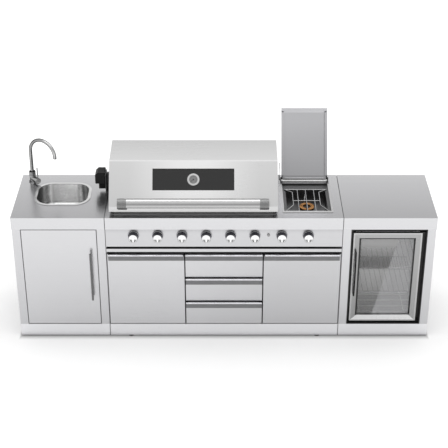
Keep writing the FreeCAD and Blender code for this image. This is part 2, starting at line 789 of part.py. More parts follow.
def hinge_pins():
    """Upright pins of the three doors, and the side burner lid's two pivots with its stay."""
    pieces = []
    reach = "door_gap + hinge_reach"
    for label, x, top_face in (("sink", SINK_PIVOT_X, f"{LIP_BOTTOM} - top_rail"),
                               ("left", f"(-{GRILL_PIVOT_X})", "rail_bottom"),
                               ("right", GRILL_PIVOT_X, "rail_bottom")):
        top_of_door = SINK_DOOR_TOP if label == "sink" else "fronts_top"
        pieces.append(rod(f"{label}_low_pin", "z", x, PIVOT_Y, "plinth_top", "hinge_radius", reach))
        pieces.append(rod(f"{label}_high_pin", "z", x, PIVOT_Y, f"{top_of_door} - hinge_reach",
                          "hinge_radius",
                          f"{top_face} - ({top_of_door}) + hinge_reach"))
    lid_left = f"({BOWL_MIDDLE} - lid_length / 2)"
    lid_right = f"({BOWL_MIDDLE} + lid_length / 2)"
    for side, x, pin_x in (("left", f"{lid_left} - seat_gap - hinge_block", f"{lid_left} - seat_gap"),
                           ("right", f"{lid_right} + seat_gap",
                            f"{lid_right} + seat_gap - 2 * hinge_block")):
        cheek = block(f"lid_cheek_{side}", x, f"{LID_HINGE_Y} - hinge_block", "worktop_top", "hinge_block",
                      "2 * hinge_block", "lid_hinge_z - worktop_top + hinge_block")
        pin = rod(f"lid_pin_{side}", "x", pin_x, LID_HINGE_Y, "lid_hinge_z", "lid_pin", "2 * hinge_block")
        pieces.append(joined(f"lid_pivot_{side}", [cheek, pin]))
    foot = block("stay_foot", "stay_x - 2 * stay_radius", f"{LID_HINGE_Y} + hinge_block", "worktop_top",
                 "4 * stay_radius", f"stay_y - {LID_HINGE_Y} - hinge_block + 2 * stay_radius",
                 "stay_radius")
    post = rod("stay_post", "z", "stay_x", "stay_y", "worktop_top + stay_radius", "stay_radius",
               "stay_top - worktop_top - stay_radius")
    pieces.append(joined("lid_stay", [foot, post]))
    node(grouped("hinge_pins", pieces))


# Sink and tap

WASTE_Z = f"({SINK_FLOOR} - trap_height)"


def sink_bowl():
    """A pressed bowl with a flat floor, round corners and a rim on the worktop."""
    rim = rounded_slab("sink_rim_plate", ("sink_left - sink_rim", "sink_left + sink_length + sink_rim"),
                       ("sink_front - sink_rim", f"{SINK_BACK} + sink_rim"),
                       ("worktop_top", "worktop_top + sink_rim_height"), "sink_corner + sink_rim")
    outer = rounded_slab("sink_outer", ("sink_left - sink_steel", "sink_left + sink_length + sink_steel"),
                         ("sink_front - sink_steel", f"{SINK_BACK} + sink_steel"),
                         (f"{SINK_FLOOR} - sink_steel", "worktop_top"), "sink_corner + sink_steel")
    lowest = outer.Tip.Shape.BoundBox.ZMin
    rounded(outer, "sink_floor_round + sink_steel",
            lambda edge: edge.BoundBox.ZMax < lowest + 0.01)
    inner = rounded_slab("sink_inner", ("sink_left", "sink_left + sink_length"), ("sink_front", SINK_BACK),
                         (SINK_FLOOR, "worktop_top + sink_rim_height + 1"), "sink_corner")
    floor = inner.Tip.Shape.BoundBox.ZMin
    rounded(inner, "sink_floor_round", lambda edge: edge.BoundBox.ZMax < floor + 0.01)
    drain = rod("sink_drain_hole", "z", SINK_X, SINK_Y, f"{SINK_FLOOR} - 2 * sink_steel",
                "drain_radius + hole_gap",
                "4 * sink_steel")
    node(without("sink_bowl", joined("sink_bowl_blank", [rim, outer]), [inner, drain]))


def sink_drain():
    """Strainer, tail pipe, bottle trap and the waste pipe that leaves through the back."""
    strainer = rod("strainer", "z", SINK_X, SINK_Y, SINK_FLOOR, "strainer_radius", "steel")
    throat = rod("throat", "z", SINK_X, SINK_Y, f"{SINK_FLOOR} - tail_radius", "drain_radius",
                 "tail_radius")
    nut = rod("drain_nut", "z", SINK_X, SINK_Y, f"{SINK_FLOOR} - sink_steel - tail_radius",
              "strainer_radius",
              "tail_radius")
    tail = rod("tail", "z", SINK_X, SINK_Y, f"{WASTE_Z}", "tail_radius",
               f"{SINK_FLOOR} - {WASTE_Z} - sink_steel")
    trap = rod("trap", "z", SINK_X, SINK_Y, f"{WASTE_Z} - trap_height / 2", "trap_radius", "trap_height")
    pipe = rod("waste_pipe", "y", SINK_X, SINK_Y, WASTE_Z, "waste_pipe_radius",
               f"{BACK} + waste_stub / 2 - ({SINK_Y})")
    spigot = rod("waste_spigot", "y", SINK_X, BACK, WASTE_Z, "waste_radius", "waste_stub")
    solid = joined("drain_blank", [strainer, throat, nut, tail, trap, pipe, spigot])
    bore = rod("drain_bore", "z", SINK_X, SINK_Y, f"{SINK_FLOOR} - tail_radius / 2",
               "drain_radius - 2 * steel",
               "tail_radius")
    pipe_bore = rod("waste_bore", "y", SINK_X, f"{BACK} - waste_stub", WASTE_Z,
                    "waste_pipe_radius - 2 * steel",
                    "3 * waste_stub")
    node(without("sink_drain", solid, [bore, pipe_bore]))


def tap_body():
    """Upright body with its side cartridge; built about its own axis, then turned into place."""
    pieces = [
        rod("tap_base_disc", "z", "0", "0", "worktop_top", "tap_base_radius", "tap_base"),
        rod("tap_column", "z", "0", "0", "worktop_top", "tap_radius", "tap_body_top - worktop_top"),
        rod("tap_shank_rod", "z", "0", "0", "worktop_top - tap_shank", "tap_shank_radius", "tap_shank"),
        rod("tap_nut_disc", "z", "0", "0", "worktop_top - top_sheet - tap_nut", "tap_nut_radius",
            "tap_nut"),
        rod("cartridge", "x", "0", "0", "cartridge_height", "cartridge_radius", "cartridge_reach"),
    ]
    body = node(joined("tap_body", pieces))
    body.Placement.Rotation = FreeCAD.Rotation(Vector(0, 0, 1), -size("cartridge_turn"))
    bind(body, Placement__Base__x="tap_x", Placement__Base__y="tap_y")


def tap_spout():
    """Collar, riser and a half-round neck."""
    collar = rod("spout_collar", "z", "0", "0", "tap_body_top + seat_gap", "tap_radius + 1",
                 "tap_collar - seat_gap")
    riser = rod("spout_riser", "z", "0", "0", "tap_body_top + seat_gap", "tube_radius",
                "neck_top - tap_body_top - seat_gap")
    neck = labelled("Part::Torus", "spout_neck")
    neck.Placement.Rotation = FreeCAD.Rotation(Vector(-1, 0, 0), Vector(0, 0, 1), Vector(0, 1, 0), "XYZ")
    bind(neck, Radius1="neck_radius", Radius2="tube_radius", Angle3="180 + spout_drop")
    bind(neck, Placement__Base__x="neck_radius", Placement__Base__z="neck_top")
    spout = node(joined("tap_spout", [collar, riser, neck]))
    spout.Placement.Rotation = FreeCAD.Rotation(Vector(0, 0, 1), -size("spout_turn"))
    bind(spout, Placement__Base__x="tap_x", Placement__Base__y="tap_y")


def tap_lever():
    cap = rod("lever_cap", "x", "cartridge_reach + seat_gap", "0", "cartridge_height", "cap_radius",
              "cap_thick")
    blade = rod("lever_rod", "z", "cartridge_reach + seat_gap + cap_thick / 2", "0", "cartridge_height",
                "lever_radius",
                "lever_top - cartridge_height")
    lever = node(joined("tap_lever", [cap, blade]))
    lever.Placement.Rotation = FreeCAD.Rotation(Vector(0, 0, 1), -size("cartridge_turn"))
    bind(lever, Placement__Base__x="tap_x", Placement__Base__y="tap_y")


# Control panel, knobs and gas pipe


def knob_places():
    places = [(f"knob_{i + 1}", f"(knob_first + {i} * knob_pitch)") for i in range(6)]
    return places + [("knob_7", "rear_knob"), ("knob_8", "side_knob")]


def control_panel():
    """A folded panel under the worktop's lip, with holes for the valve stems and the igniter."""
    across = (f"side_setback + steel - {SEAM}", f"{SEAM} - side_setback - steel")
    face = span("panel_face", across, (BODY_FRONT, INNER_FRONT), ("panel_bottom", LIP_BOTTOM))
    lower = span("panel_lower_return", across, (BODY_FRONT, f"{BODY_FRONT} + panel_return"),
                 ("panel_bottom", "panel_bottom + steel"))
    upper = span("panel_upper_return", across, (BODY_FRONT, f"{BODY_FRONT} + panel_return"),
                 (f"{LIP_BOTTOM} - steel", LIP_BOTTOM))
    holes = [rod(f"stem_hole_{name}", "y", x, f"{BODY_FRONT} - 1", KNOB_Z, "stem_radius + 2 * hole_gap",
                 "2 * steel") for name, x in knob_places()]
    holes.append(rod("igniter_hole", "y", "igniter_x", f"{BODY_FRONT} - 1", IGNITER_Z,
                     "igniter_radius + hole_gap", "2 * steel"))
    node(without("control_panel", joined("panel_blank", [face, lower, upper]), holes))


def gas_manifold():
    """The pipe behind the panel, its eight valves with stems, and the inlet through the back."""
    pipe = rod("manifold_pipe", "x", "knob_first - 2 * valve_size", PIPE_Y, KNOB_Z, "pipe_radius",
               "inlet_x - knob_first + 2 * valve_size + pipe_radius")
    inlet = rod("inlet_pipe", "y", "inlet_x", PIPE_Y, KNOB_Z, "inlet_pipe_radius",
                f"{BACK} + inlet_stub / 2 - {PIPE_Y}")
    nipple = rod("inlet_nipple", "y", "inlet_x", BACK, KNOB_Z, "pipe_radius", "inlet_stub")
    pieces = [pipe, inlet, nipple]
    for name, x in knob_places():
        pieces.append(block(f"valve_{name}", f"{x} - valve_size / 2", INNER_FRONT + " + seat_gap",
                            f"{KNOB_Z} - valve_size / 2",
                            "valve_size", f"{VALVE_BACK} - {INNER_FRONT} - seat_gap", "valve_size"))
        pieces.append(rod(f"stem_{name}", "y", x, f"{KNOB_START} - stem_in_knob", KNOB_Z, "stem_radius",
                          f"{PIPE_Y} - {KNOB_START} + stem_in_knob"))
    bore = rod("inlet_bore", "y", "inlet_x", f"{BACK} - inlet_stub", KNOB_Z,
               "inlet_pipe_radius - 2 * steel",
               "3 * inlet_stub")
    node(without("gas_manifold", joined("manifold_blank", pieces), [bore]))


def knob_bezels():
    pieces = []
    for name, x in knob_places():
        ring = taper(f"bezel_ring_{name}", "-y", x, BODY_FRONT, KNOB_Z, "bezel_radius", "bezel_face_radius",
                     "bezel_thick")
        bore = rod(f"bezel_bore_{name}", "-y", x, f"{BODY_FRONT} + 1", KNOB_Z, "bezel_bore",
                   "bezel_thick + 2")
        pieces.append(without(f"bezel_{name}", ring, [bore]))
    node(grouped("knob_bezels", pieces))


def knobs():
    """Round knobs with an upright grip between two hollows."""
    for name, x in knob_places():
        blank = taper(f"{name}_blank", "-y", x, KNOB_START, KNOB_Z, "knob_radius", "knob_face_radius",
                      "knob_length")
        hollow = rod(f"{name}_hollow", "-y", x, f"{KNOB_START} - knob_length + knob_pocket", KNOB_Z,
                     "knob_pocket_radius", "knob_pocket + 1")
        grip = block(f"{name}_grip", f"{x} - knob_grip / 2", f"{KNOB_START} - knob_length - 2",
                     f"{KNOB_Z} - knob_radius",
                     "knob_grip", "knob_pocket + 4", "2 * knob_radius")
        bore = rod(f"{name}_bore", "-y", x, f"{KNOB_START} + 1", KNOB_Z, "stem_radius + hole_gap",
                   "stem_in_knob + hole_gap + 1")
        node(without(name, blank, [without(f"{name}_hollows", hollow, [grip]), bore]))


def igniter_button():
    head = rod("igniter_head", "-y", "igniter_x", f"{BODY_FRONT} + 2 * steel", IGNITER_Z, "igniter_radius",
               "igniter_out + 2 * steel")
    stem = rod("igniter_stem_rod", "y", "igniter_x", f"{BODY_FRONT} + 2 * steel", IGNITER_Z,
               "igniter_stem_radius",
               "igniter_stem")
    node(joined("igniter_button", [head, stem]))


# Firebox and what is in it

TRAY_BOTTOM = "(firebox_bottom - steel - tray_height)"


def firebox():
    """The welded box under the hood, hung in the worktop by its flange."""
    inside = (f"firebox_left + firebox_steel", f"{FIREBOX_RIGHT} - firebox_steel")
    deep = (f"{FIREBOX_FRONT} + firebox_steel", f"{FIREBOX_BACK} - firebox_steel")
    outer = span("firebox_outer", ("firebox_left", FIREBOX_RIGHT), (FIREBOX_FRONT, FIREBOX_BACK),
                 ("firebox_bottom", FIREBOX_TOP))
    inner = span("firebox_inner", inside, deep, ("firebox_bottom + firebox_steel", f"{FIREBOX_TOP} + 1"))
    holes = [rod("grease_hole_cut", "z", HOOD_MIDDLE, "0", "firebox_bottom - 1", "grease_hole",
                 "firebox_steel + 2")]
    for i in range(6):
        holes.append(rod(f"burner_hole_{i}", "y", f"knob_first + {i} * knob_pitch", f"{FIREBOX_FRONT} - 1",
                         KNOB_Z,
                         "burner_radius + hole_gap", "firebox_steel + 2"))
    shell = without("firebox_shell", outer, [inner] + holes)
    plate = span("flange_plate", (f"firebox_left - firebox_flange", f"{FIREBOX_RIGHT} + firebox_flange"),
                 (f"{FIREBOX_FRONT} - firebox_flange", f"{FIREBOX_BACK} + firebox_flange"),
                 ("worktop_top", RIM_TOP))
    window = span("flange_window", ("firebox_left + 1", f"{FIREBOX_RIGHT} - 1"),
                  (f"{FIREBOX_FRONT} + 1", f"{FIREBOX_BACK} - 1"), ("worktop_top - 1", f"{RIM_TOP} + 1"))
    pieces = [shell, without("firebox_flange_ring", plate, [window])]
    level = ("ledge_height", "ledge_height + firebox_steel")
    pieces.append(span("front_ledge", inside, (deep[0], f"{deep[0]} + ledge_front"), level))
    pieces.append(span("back_ledge", inside, (f"{deep[1]} - ledge_back", deep[1]), level))
    shelf = (f"{FIREBOX_TOP} - firebox_steel", FIREBOX_TOP)
    pieces.append(span("left_shelf", (inside[0], f"{inside[0]} + rim_shelf"), (deep[0], deep[1]), shelf))
    pieces.append(span("right_shelf", (f"{inside[1]} - rim_shelf", inside[1]), (deep[0], deep[1]), shelf))
    rail_low = f"{TRAY_BOTTOM} - seat_gap - steel"
    for side, wall, foot in (("left", ("firebox_left", "firebox_left + steel"),
                              ("firebox_left", "firebox_left + tray_inset + tray_rail")),
                             ("right", (f"{FIREBOX_RIGHT} - steel", FIREBOX_RIGHT),
                              (f"{FIREBOX_RIGHT} - tray_inset - tray_rail", FIREBOX_RIGHT))):
        pieces.append(span(f"{side}_tray_wall", wall, (FIREBOX_FRONT, FIREBOX_BACK),
                           (rail_low, "firebox_bottom")))
        pieces.append(span(f"{side}_tray_foot", foot, (FIREBOX_FRONT, FIREBOX_BACK),
                           (rail_low, f"{rail_low} + steel")))
    rest = block("spit_rest_plate", f"{inside[1]} - rim_shelf", "spit_y - rim_shelf", FIREBOX_TOP,
                 "firebox_steel",
                 "2 * rim_shelf", f"spit_z + spit_radius - ({FIREBOX_TOP})")
    notch = block("spit_rest_notch", f"{inside[1]} - rim_shelf - 1", "spit_y - spit_radius - seat_gap",
                  "spit_z - spit_radius - seat_gap", "firebox_steel + 2", "2 * (spit_radius + seat_gap)",
                  "4 * spit_radius")
    pieces.append(without("spit_rest", rest, [notch]))
    for side, x in hood_lugs("fixed"):
        lug = block(f"{side}_hood_lug", x, "hood_hinge_y - knuckle_radius", "worktop_top", "knuckle_length",
                    "2 * knuckle_radius", "hood_hinge_z - worktop_top")
        barrel = rod(f"{side}_hood_barrel", "x", x, "hood_hinge_y", "hood_hinge_z", "knuckle_radius",
                     "knuckle_length")
        pin = rod(f"{side}_hood_pin", "x", x, "hood_hinge_y", "hood_hinge_z", "knuckle_pin",
                  "2 * knuckle_length - 4 * seat_gap")
        pieces += [lug, barrel, pin]
    node(joined("firebox", pieces))


def hood_lugs(kind):
    """Where the two hinge knuckles stand along X: the fixed ones, or the hood's beside them."""
    shift = "0" if kind == "fixed" else "knuckle_length + seat_gap"
    return [("left", f"(hood_left + knuckle_inset + {shift})"),
            ("right", f"(hood_left + hood_length - knuckle_inset - 2 * knuckle_length + {shift})")]


def burners():
    """Six tube burners that run from the valves through the firebox, each with its flame tamer."""
    start = f"({VALVE_BACK} + seat_gap)"
    tubes = [rod(f"burner_{i}", "y", f"knob_first + {i} * knob_pitch", start, KNOB_Z, "burner_radius",
                 f"{FIREBOX_BACK} - firebox_steel - {start}") for i in range(6)]
    length = "firebox_depth - 2 * firebox_steel"
    node(grouped("main_burners", tubes))
    level = "tamer_peak - tamer_drop"
    outline = [("-tamer_half_width", "0"), ("0", "tamer_drop"), ("tamer_half_width", "0"),
               ("tamer_half_width - 2 * steel", "0"), ("0", "tamer_drop - 2 * steel"),
               ("2 * steel - tamer_half_width", "0")]
    tamers = [prism(f"flame_tamer_{i}", "XZ", outline, length, x=f"knob_first + {i} * knob_pitch",
                    y=f"{FIREBOX_BACK} - firebox_steel", z=level) for i in range(6)]
    node(grouped("flame_tamers", tamers))


def cooking_grates():
    """Three lift-out grates of round bars on two cross bars."""
    inside = "(firebox_length - 2 * firebox_steel)"
    count = int(size("grate_count"))
    bars = int(size("grate_bars"))
    width = f"(({inside} - (grate_count + 1) * grate_gap) / grate_count)"
    back = f"({FIREBOX_BACK} - rear_burner_thick - firebox_steel - grate_gap)"
    start = f"({FIREBOX_FRONT} + firebox_steel + grate_gap)"
    level = "ledge_height + firebox_steel + grate_bar"
    grates = []
    for i in range(count):
        left = f"(firebox_left + firebox_steel + grate_gap + {i} * ({width} + grate_gap))"
        pieces = [rod(f"grate_{i}_bar_{j}", "y",
                      f"{left} + grate_bar + {j} * ({width} - 2 * grate_bar) / {bars - 1}",
                      start, level, "grate_bar", f"{back} - {start}") for j in range(bars)]
        for name, y in (("front", f"{start} + ledge_front + 2 * grate_bar"),
                        ("back", f"{back} - ledge_back")):
            pieces.append(rod(f"grate_{i}_{name}_tie", "x", f"{left} + grate_bar", y, level, "grate_bar",
                              f"{width} - 2 * grate_bar"))
        grates.append(joined(f"grate_{i}", pieces))
    node(grouped("cooking_grates", grates))


def rear_burner():
    """The upright infrared burner on the back ledge, with its ceramic face sunk in."""
    back = f"{FIREBOX_BACK} - firebox_steel"
    front = f"({back} - rear_burner_thick)"
    low = "ledge_height + firebox_steel"
    case = span("rear_burner_case", ("rear_burner_left", "rear_burner_left + rear_burner_length"),
                (front, back),
                (low, "rear_burner_top"))
    face = span("rear_burner_face",
                ("rear_burner_left + ledge_front", "rear_burner_left + rear_burner_length - ledge_front"),
                (f"{front} - 1", f"{front} + 2 * steel"),
                ("hood_bottom + ledge_front / 2", "rear_burner_top - ledge_front / 2"))
    node(without("rear_burner", case, [face]))


def warming_rack():
    """A raised rack whose legs stand on the firebox's side shelves."""
    left = "(firebox_left + firebox_steel + rim_shelf / 2)"
    right = f"({FIREBOX_RIGHT} - firebox_steel - rim_shelf / 2)"
    bars = int(size("rack_bars"))
    pieces = [rod(f"rack_bar_{i}", "x", left, f"rack_front + {i} * rack_depth / {bars - 1}", "rack_height",
                  "rack_wire",
                  f"{right} - {left}") for i in range(bars)]
    for side, x in (("left", left), ("right", right)):
        pieces.append(rod(f"rack_{side}_tie", "y", x, "rack_front", "rack_height", "rack_wire",
                          "rack_depth"))
        for end, y in (("front", "rack_front"), ("back", "rack_front + rack_depth")):
            pieces.append(rod(f"rack_{side}_{end}_leg", "z", x, y, FIREBOX_TOP, "rack_wire",
                              f"rack_height - {FIREBOX_TOP}"))
            pieces.append(labelled("Part::Sphere", f"rack_{side}_{end}_knee"))
            bind(pieces[-1], Radius="rack_wire", Placement__Base__x=x, Placement__Base__y=y,
                 Placement__Base__z="rack_height")
    node(joined("warming_rack", pieces))


def grease_tray():
    """The tray on two rails under the firebox; it slides out at the back."""
    across = ("firebox_left + tray_inset", f"{FIREBOX_RIGHT} - tray_inset")
    front = f"{FIREBOX_FRONT} + tray_inset"
    top = f"{TRAY_BOTTOM} + tray_height"
    outer = span("tray_outer", across, (front, f"{BODY_BACK} + steel"), (TRAY_BOTTOM, top))
    inner = span("tray_inner", (f"{across[0]} + tray_steel", f"{across[1]} - tray_steel"),
                 (f"{front} + tray_steel", f"{BODY_BACK} - 3 * steel"),
                 (f"{TRAY_BOTTOM} + tray_steel", f"{top} + 1"))
    pull = block("tray_pull", f"{HOOD_MIDDLE} - hood_post", f"{BODY_BACK} + steel",
                 f"{TRAY_BOTTOM} + tray_height / 3",
                 "2 * hood_post", f"tray_back - {BODY_BACK} - steel + tray_rail", "tray_height / 3")
    node(joined("grease_tray", [without("tray_shell", outer, [inner]), pull]))


# Hood

FACE_FOOT_Y = "hood_front"
FACE_FOOT_Z = "(hood_bottom + hood_lip)"
FACE_RUN = "(hood_crease_y - hood_front)"
FACE_CLIMB = f"(hood_crease_z - {FACE_FOOT_Z})"
FACE_LENGTH = f"sqrt({FACE_RUN} ^ 2 + {FACE_CLIMB} ^ 2)"
FACE_LEAN = f"atan({FACE_RUN} / {FACE_CLIMB})"


def on_face(thing, rise, out):
    """Lean a piece with the hood's face, at a height up the face and a distance out from it.

    The piece is drawn upright: its Z then climbs the face and its -Y points out of it.
    """
    thing.Placement.Rotation = FreeCAD.Rotation(Vector(-1, 0, 0), 1)
    bind(thing, Placement__Rotation__Angle=FACE_LEAN)
    across = f"(({rise}) * {FACE_RUN} - ({out}) * {FACE_CLIMB}) / {FACE_LENGTH}"
    up = f"(({rise}) * {FACE_CLIMB} + ({out}) * {FACE_RUN}) / {FACE_LENGTH}"
    bind(thing, Placement__Base__y=f"{FACE_FOOT_Y} + {across}", Placement__Base__z=f"{FACE_FOOT_Z} + {up}")
    return thing


def hood_outline(label, length, x):
    """The hood's side view as a solid block."""
    outline = [("hood_front", "hood_bottom"), ("hood_front", FACE_FOOT_Z),
               ("hood_crease_y", "hood_crease_z"),
               ("hood_top_y", "hood_top_z"), ("hood_shoulder_y", "hood_shoulder_z"),
               ("hood_back", "hood_shoulder_z - lip_hem"), ("hood_back", "hood_bottom")]
    return prism(label, "YZ", outline, length, x=x)


def hood_shell():
    """Folded shell with closed ends, a window frame and an inner flange that rests on the firebox."""
    skin = hood_outline("hood_skin", "hood_length", "hood_left")
    pad = skin.Tip
    mouth = [f"Face{i}" for i, face in enumerate(pad.Shape.Faces, start=1)
             if face.BoundBox.ZLength < 0.01 and abs(face.BoundBox.ZMin - size("hood_bottom")) < 0.01]
    hollow = skin.newObject("PartDesign::Thickness", "hood_hollow")
    hollow.Base = (pad, mouth)
    hollow.Reversed = True
    hollow.Join = 1
    bind(hollow, Value="hood_steel")
    doc.recompute()
    level = ("hood_bottom", "hood_bottom + hood_steel")
    sides = ("hood_front", f"{FIREBOX_BACK} - ledge_back")
    right = "(hood_left + hood_length)"
    left_of_window = f"{HOOD_MIDDLE} - window_length / 2"
    pieces = [
        skin,
        span("hood_front_flange", ("hood_left", right), ("hood_front", "hood_front + hood_flange"), level),
        span("hood_left_flange", ("hood_left", "hood_left + hood_flange"), sides, level),
        span("hood_right_flange", (f"{right} - hood_flange", right), sides, level),
        on_face(block("window_frame", f"{left_of_window} - hood_steel", "0", "0",
                      "window_length + 2 * hood_steel", "window_reveal", "window_height + 2 * hood_steel"),
                "window_rise - hood_steel", "0"),
    ]
    for side, x in hood_lugs("moving"):
        pieces.append(block(f"{side}_hood_tab", x, "hood_back", "hood_hinge_z", "knuckle_length - seat_gap",
                            "hood_hinge_y - hood_back", "2 * knuckle_radius + hood_bottom - hood_hinge_z"))
        pieces.append(rod(f"{side}_hood_eye", "x", x, "hood_hinge_y", "hood_hinge_z", "knuckle_radius",
                          "knuckle_length - seat_gap"))
    holes = [rod(f"{side}_eye_bore", "x", f"{x} - 1", "hood_hinge_y", "hood_hinge_z",
                 "knuckle_pin + hole_gap", "knuckle_length + 2") for side, x in hood_lugs("moving")]
    holes.append(on_face(block("window_cut", left_of_window, "0", "0", "window_length", "window_reveal + 2",
                               "window_height"), "window_rise", "1"))
    notch = [("spit_y - notch_half", "spit_z + notch_half"), ("spit_y + notch_half", "spit_z + notch_half"),
             ("spit_y + notch_half", "hood_bottom - 1"), ("spit_y - notch_front", "hood_bottom - 1"),
             ("spit_y - notch_front", "spit_z - notch_front - notch_half")]
    holes.append(prism("spit_notch", "YZ", notch, "hood_flange + 3 * hood_steel",
                       x="hood_left - hood_steel"))
    node(without("hood_shell", joined("hood_blank", pieces), holes))


GAUGE_RISE = "(window_rise + window_height / 2)"


def face_rod(label, x, rise, start, radius, length):
    """A cylinder that stands out from the hood's face."""
    cylinder = on_face(rod(label, "z", x, "0", "0", radius, length), rise, start)
    cylinder.Placement.Rotation = FreeCAD.Rotation(Vector(1, 0, 0), 1)
    bind(cylinder, Placement__Rotation__Angle=f"90 deg - {FACE_LEAN}")
    return cylinder


def hood_window():
    """The pane behind the window frame, with a hole for the thermometer's stem."""
    length = "(window_length + 2 * window_lap)"
    pane = on_face(block("window_pane", f"{HOOD_MIDDLE} - {length} / 2", "0", "0", length, "window_glass",
                         "window_height + 2 * window_lap"), "window_rise - window_lap", "-window_reveal")
    hole = face_rod("gauge_hole", HOOD_MIDDLE, GAUGE_RISE, "-window_reveal - window_glass - 1",
                    "gauge_stem_radius + hole_gap", "window_glass + 2")
    node(without("hood_window", pane, [hole]))


def thermometer():
    """A round gauge on the window, with a dial sunk in its bright ring and a stem into the hood."""
    case = face_rod("gauge_case", HOOD_MIDDLE, GAUGE_RISE, "-window_reveal", "gauge_radius", "gauge_thick")
    dial = face_rod("gauge_dial", HOOD_MIDDLE, GAUGE_RISE, "gauge_thick - window_reveal - gauge_recess",
                    "gauge_dial_radius", "gauge_recess + 1")
    stem = face_rod("gauge_stem_rod", HOOD_MIDDLE, GAUGE_RISE, "-window_reveal - gauge_stem",
                    "gauge_stem_radius", "gauge_stem + 1")
    node(without("thermometer", joined("gauge_blank", [case, stem]), [dial]))


def oval_bar(label, inset):
    """The handle's oval bar, or the sealed hollow inside it."""
    oval = labelled("Part::Ellipse", label + "_oval")
    bind(oval, MajorRadius=f"hood_bar_half_height - {inset}", MinorRadius=f"hood_bar_half_depth - {inset}")
    bar = labelled("Part::Extrusion", label)
    bar.Base = oval
    bar.DirMode = "Custom"
    bar.Dir = Vector(0, 0, 1)
    bar.Solid = True
    bind(bar, LengthFwd=f"hood_length - 2 * (hood_bar_inset + {inset})")
    on_face(bar, "hood_bar_rise", "hood_bar_reach")
    bar.setExpression("Placement.Rotation.Angle", None)
    lean = Vector(0, size("hood_crease_y") - size("hood_front"),
                  size("hood_crease_z") - size("hood_bottom") - size("hood_lip")).normalize()
    bar.Placement.Rotation = FreeCAD.Rotation(lean, Vector(0, -lean.z, lean.y), Vector(1, 0, 0), "XYZ")
    bind(bar, Placement__Base__x=f"hood_left + hood_bar_inset + {inset}")
    return bar


def hood_handle():
    """An oval bar across the hood's front on two cast posts with cut corners."""
    pieces = [oval_bar("hood_bar", "0")]
    half = "hood_post_half_height"
    cut = "(hood_post_half_height / 2)"
    outline = [("0", f"-{half}"), ("hood_post", f"-{half}"), ("hood_post", f"{half} - {cut}"),
               (f"hood_post - {cut}", half), (cut, half), ("0", f"{half} - {cut}")]
    for side, x in (("left", "hood_left + hood_bar_inset"),
                    ("right", "hood_left + hood_length - hood_bar_inset - hood_post")):
        post = prism(f"{side}_hood_post", "XZ", outline, "hood_bar_reach + hood_post_sink", x=x)
        pieces.append(on_face(post, "hood_bar_rise", "-hood_post_sink"))
    form = hood_outline("hood_form", "hood_length", "hood_left")
    node(without("hood_handle", joined("handle_blank", pieces),
                 [form, oval_bar("hood_bar_hollow", "hood_bar_wall")]))


# Rotisserie


def rotisserie_motor():
    """The drive's case: a tall part and a lower step, with a socket for the spit."""
    left = "motor_left"
    right = "(motor_left + motor_length)"
    outline = [(f"{left} + motor_chamfer", "motor_top"), (right, "motor_top"), (right, "motor_bottom"),
               (left, "motor_bottom"), (left, "motor_top - motor_chamfer")]
    case = prism("motor_case", "XZ", outline, "motor_depth", y="motor_front + motor_depth")
    front = size("motor_front") + 0.01
    rounded(case, "motor_round", lambda edge: edge.BoundBox.YMax < front)
    step = span("motor_lower", (f"{left} + motor_step_inset", right),
                ("motor_front + motor_round", "motor_front + motor_step_depth"),
                ("motor_bottom - motor_step", "motor_bottom + motor_round"))
    socket = rod("motor_socket_hole", "x", f"{right} - motor_socket", "spit_y", "spit_z",
                 "spit_radius + hole_gap",
                 "motor_socket + 1")
    node(without("rotisserie_motor", joined("motor_blank", [case, step]), [socket]))


def motor_bracket():
    """A foot on the worktop, a seat plate behind the drive and an upright arm beside the hood."""
    left = "(motor_left + motor_length)"
    right = f"({left} + bracket_length)"
    back = "(motor_front + motor_depth)"
    top = "motor_top - motor_chamfer"
    foot = span("bracket_foot", (left, right), ("motor_front", back),
                ("worktop_top", "worktop_top + bracket_thick"))
    seat = span("bracket_seat", (left, f"{left} + bracket_thick"), ("motor_front", back),
                ("worktop_top", top))
    arm = span("bracket_arm", (left, right), ("spit_y - bracket_half", "spit_y + bracket_half"),
               ("worktop_top", top))
    hole = rod("bracket_hole", "x", f"{left} - 1", "spit_y", "spit_z", "spit_radius + 2 * hole_gap",
               "bracket_length + 2")
    node(without("motor_bracket", joined("bracket_blank", [foot, seat, arm]), [hole]))


def spit_rod():
    """The spit with its two forks; each fork has a hub and four tines."""
    start = "(motor_left + motor_length - motor_socket + seat_gap)"
    end = f"({FIREBOX_RIGHT} - firebox_steel - rim_shelf + 3 * spit_radius)"
    pieces = [rod("spit_bar", "x", start, "spit_y", "spit_z", "spit_radius", f"{end} - {start}")]
    for side, hub_x, tine_x in (
            ("left", f"{HOOD_MIDDLE} - fork_from_middle", f"{HOOD_MIDDLE} - fork_from_middle"),
            ("right", f"{HOOD_MIDDLE} + fork_from_middle - fork_hub",
             f"{HOOD_MIDDLE} + fork_from_middle - fork_length")):
        pieces.append(rod(f"{side}_fork_hub", "x", hub_x, "spit_y", "spit_z",
                          "fork_tine_offset + 2 * fork_tine_radius",
                          "fork_hub"))
        for i, (across, up) in enumerate((("1", "0"), ("-1", "0"), ("0", "1"), ("0", "-1"))):
            pieces.append(rod(f"{side}_tine_{i}", "x", tine_x, f"spit_y + {across} * fork_tine_offset",
                              f"spit_z + {up} * fork_tine_offset", "fork_tine_radius", "fork_length"))
    node(joined("spit_rod", pieces))


# Side burner


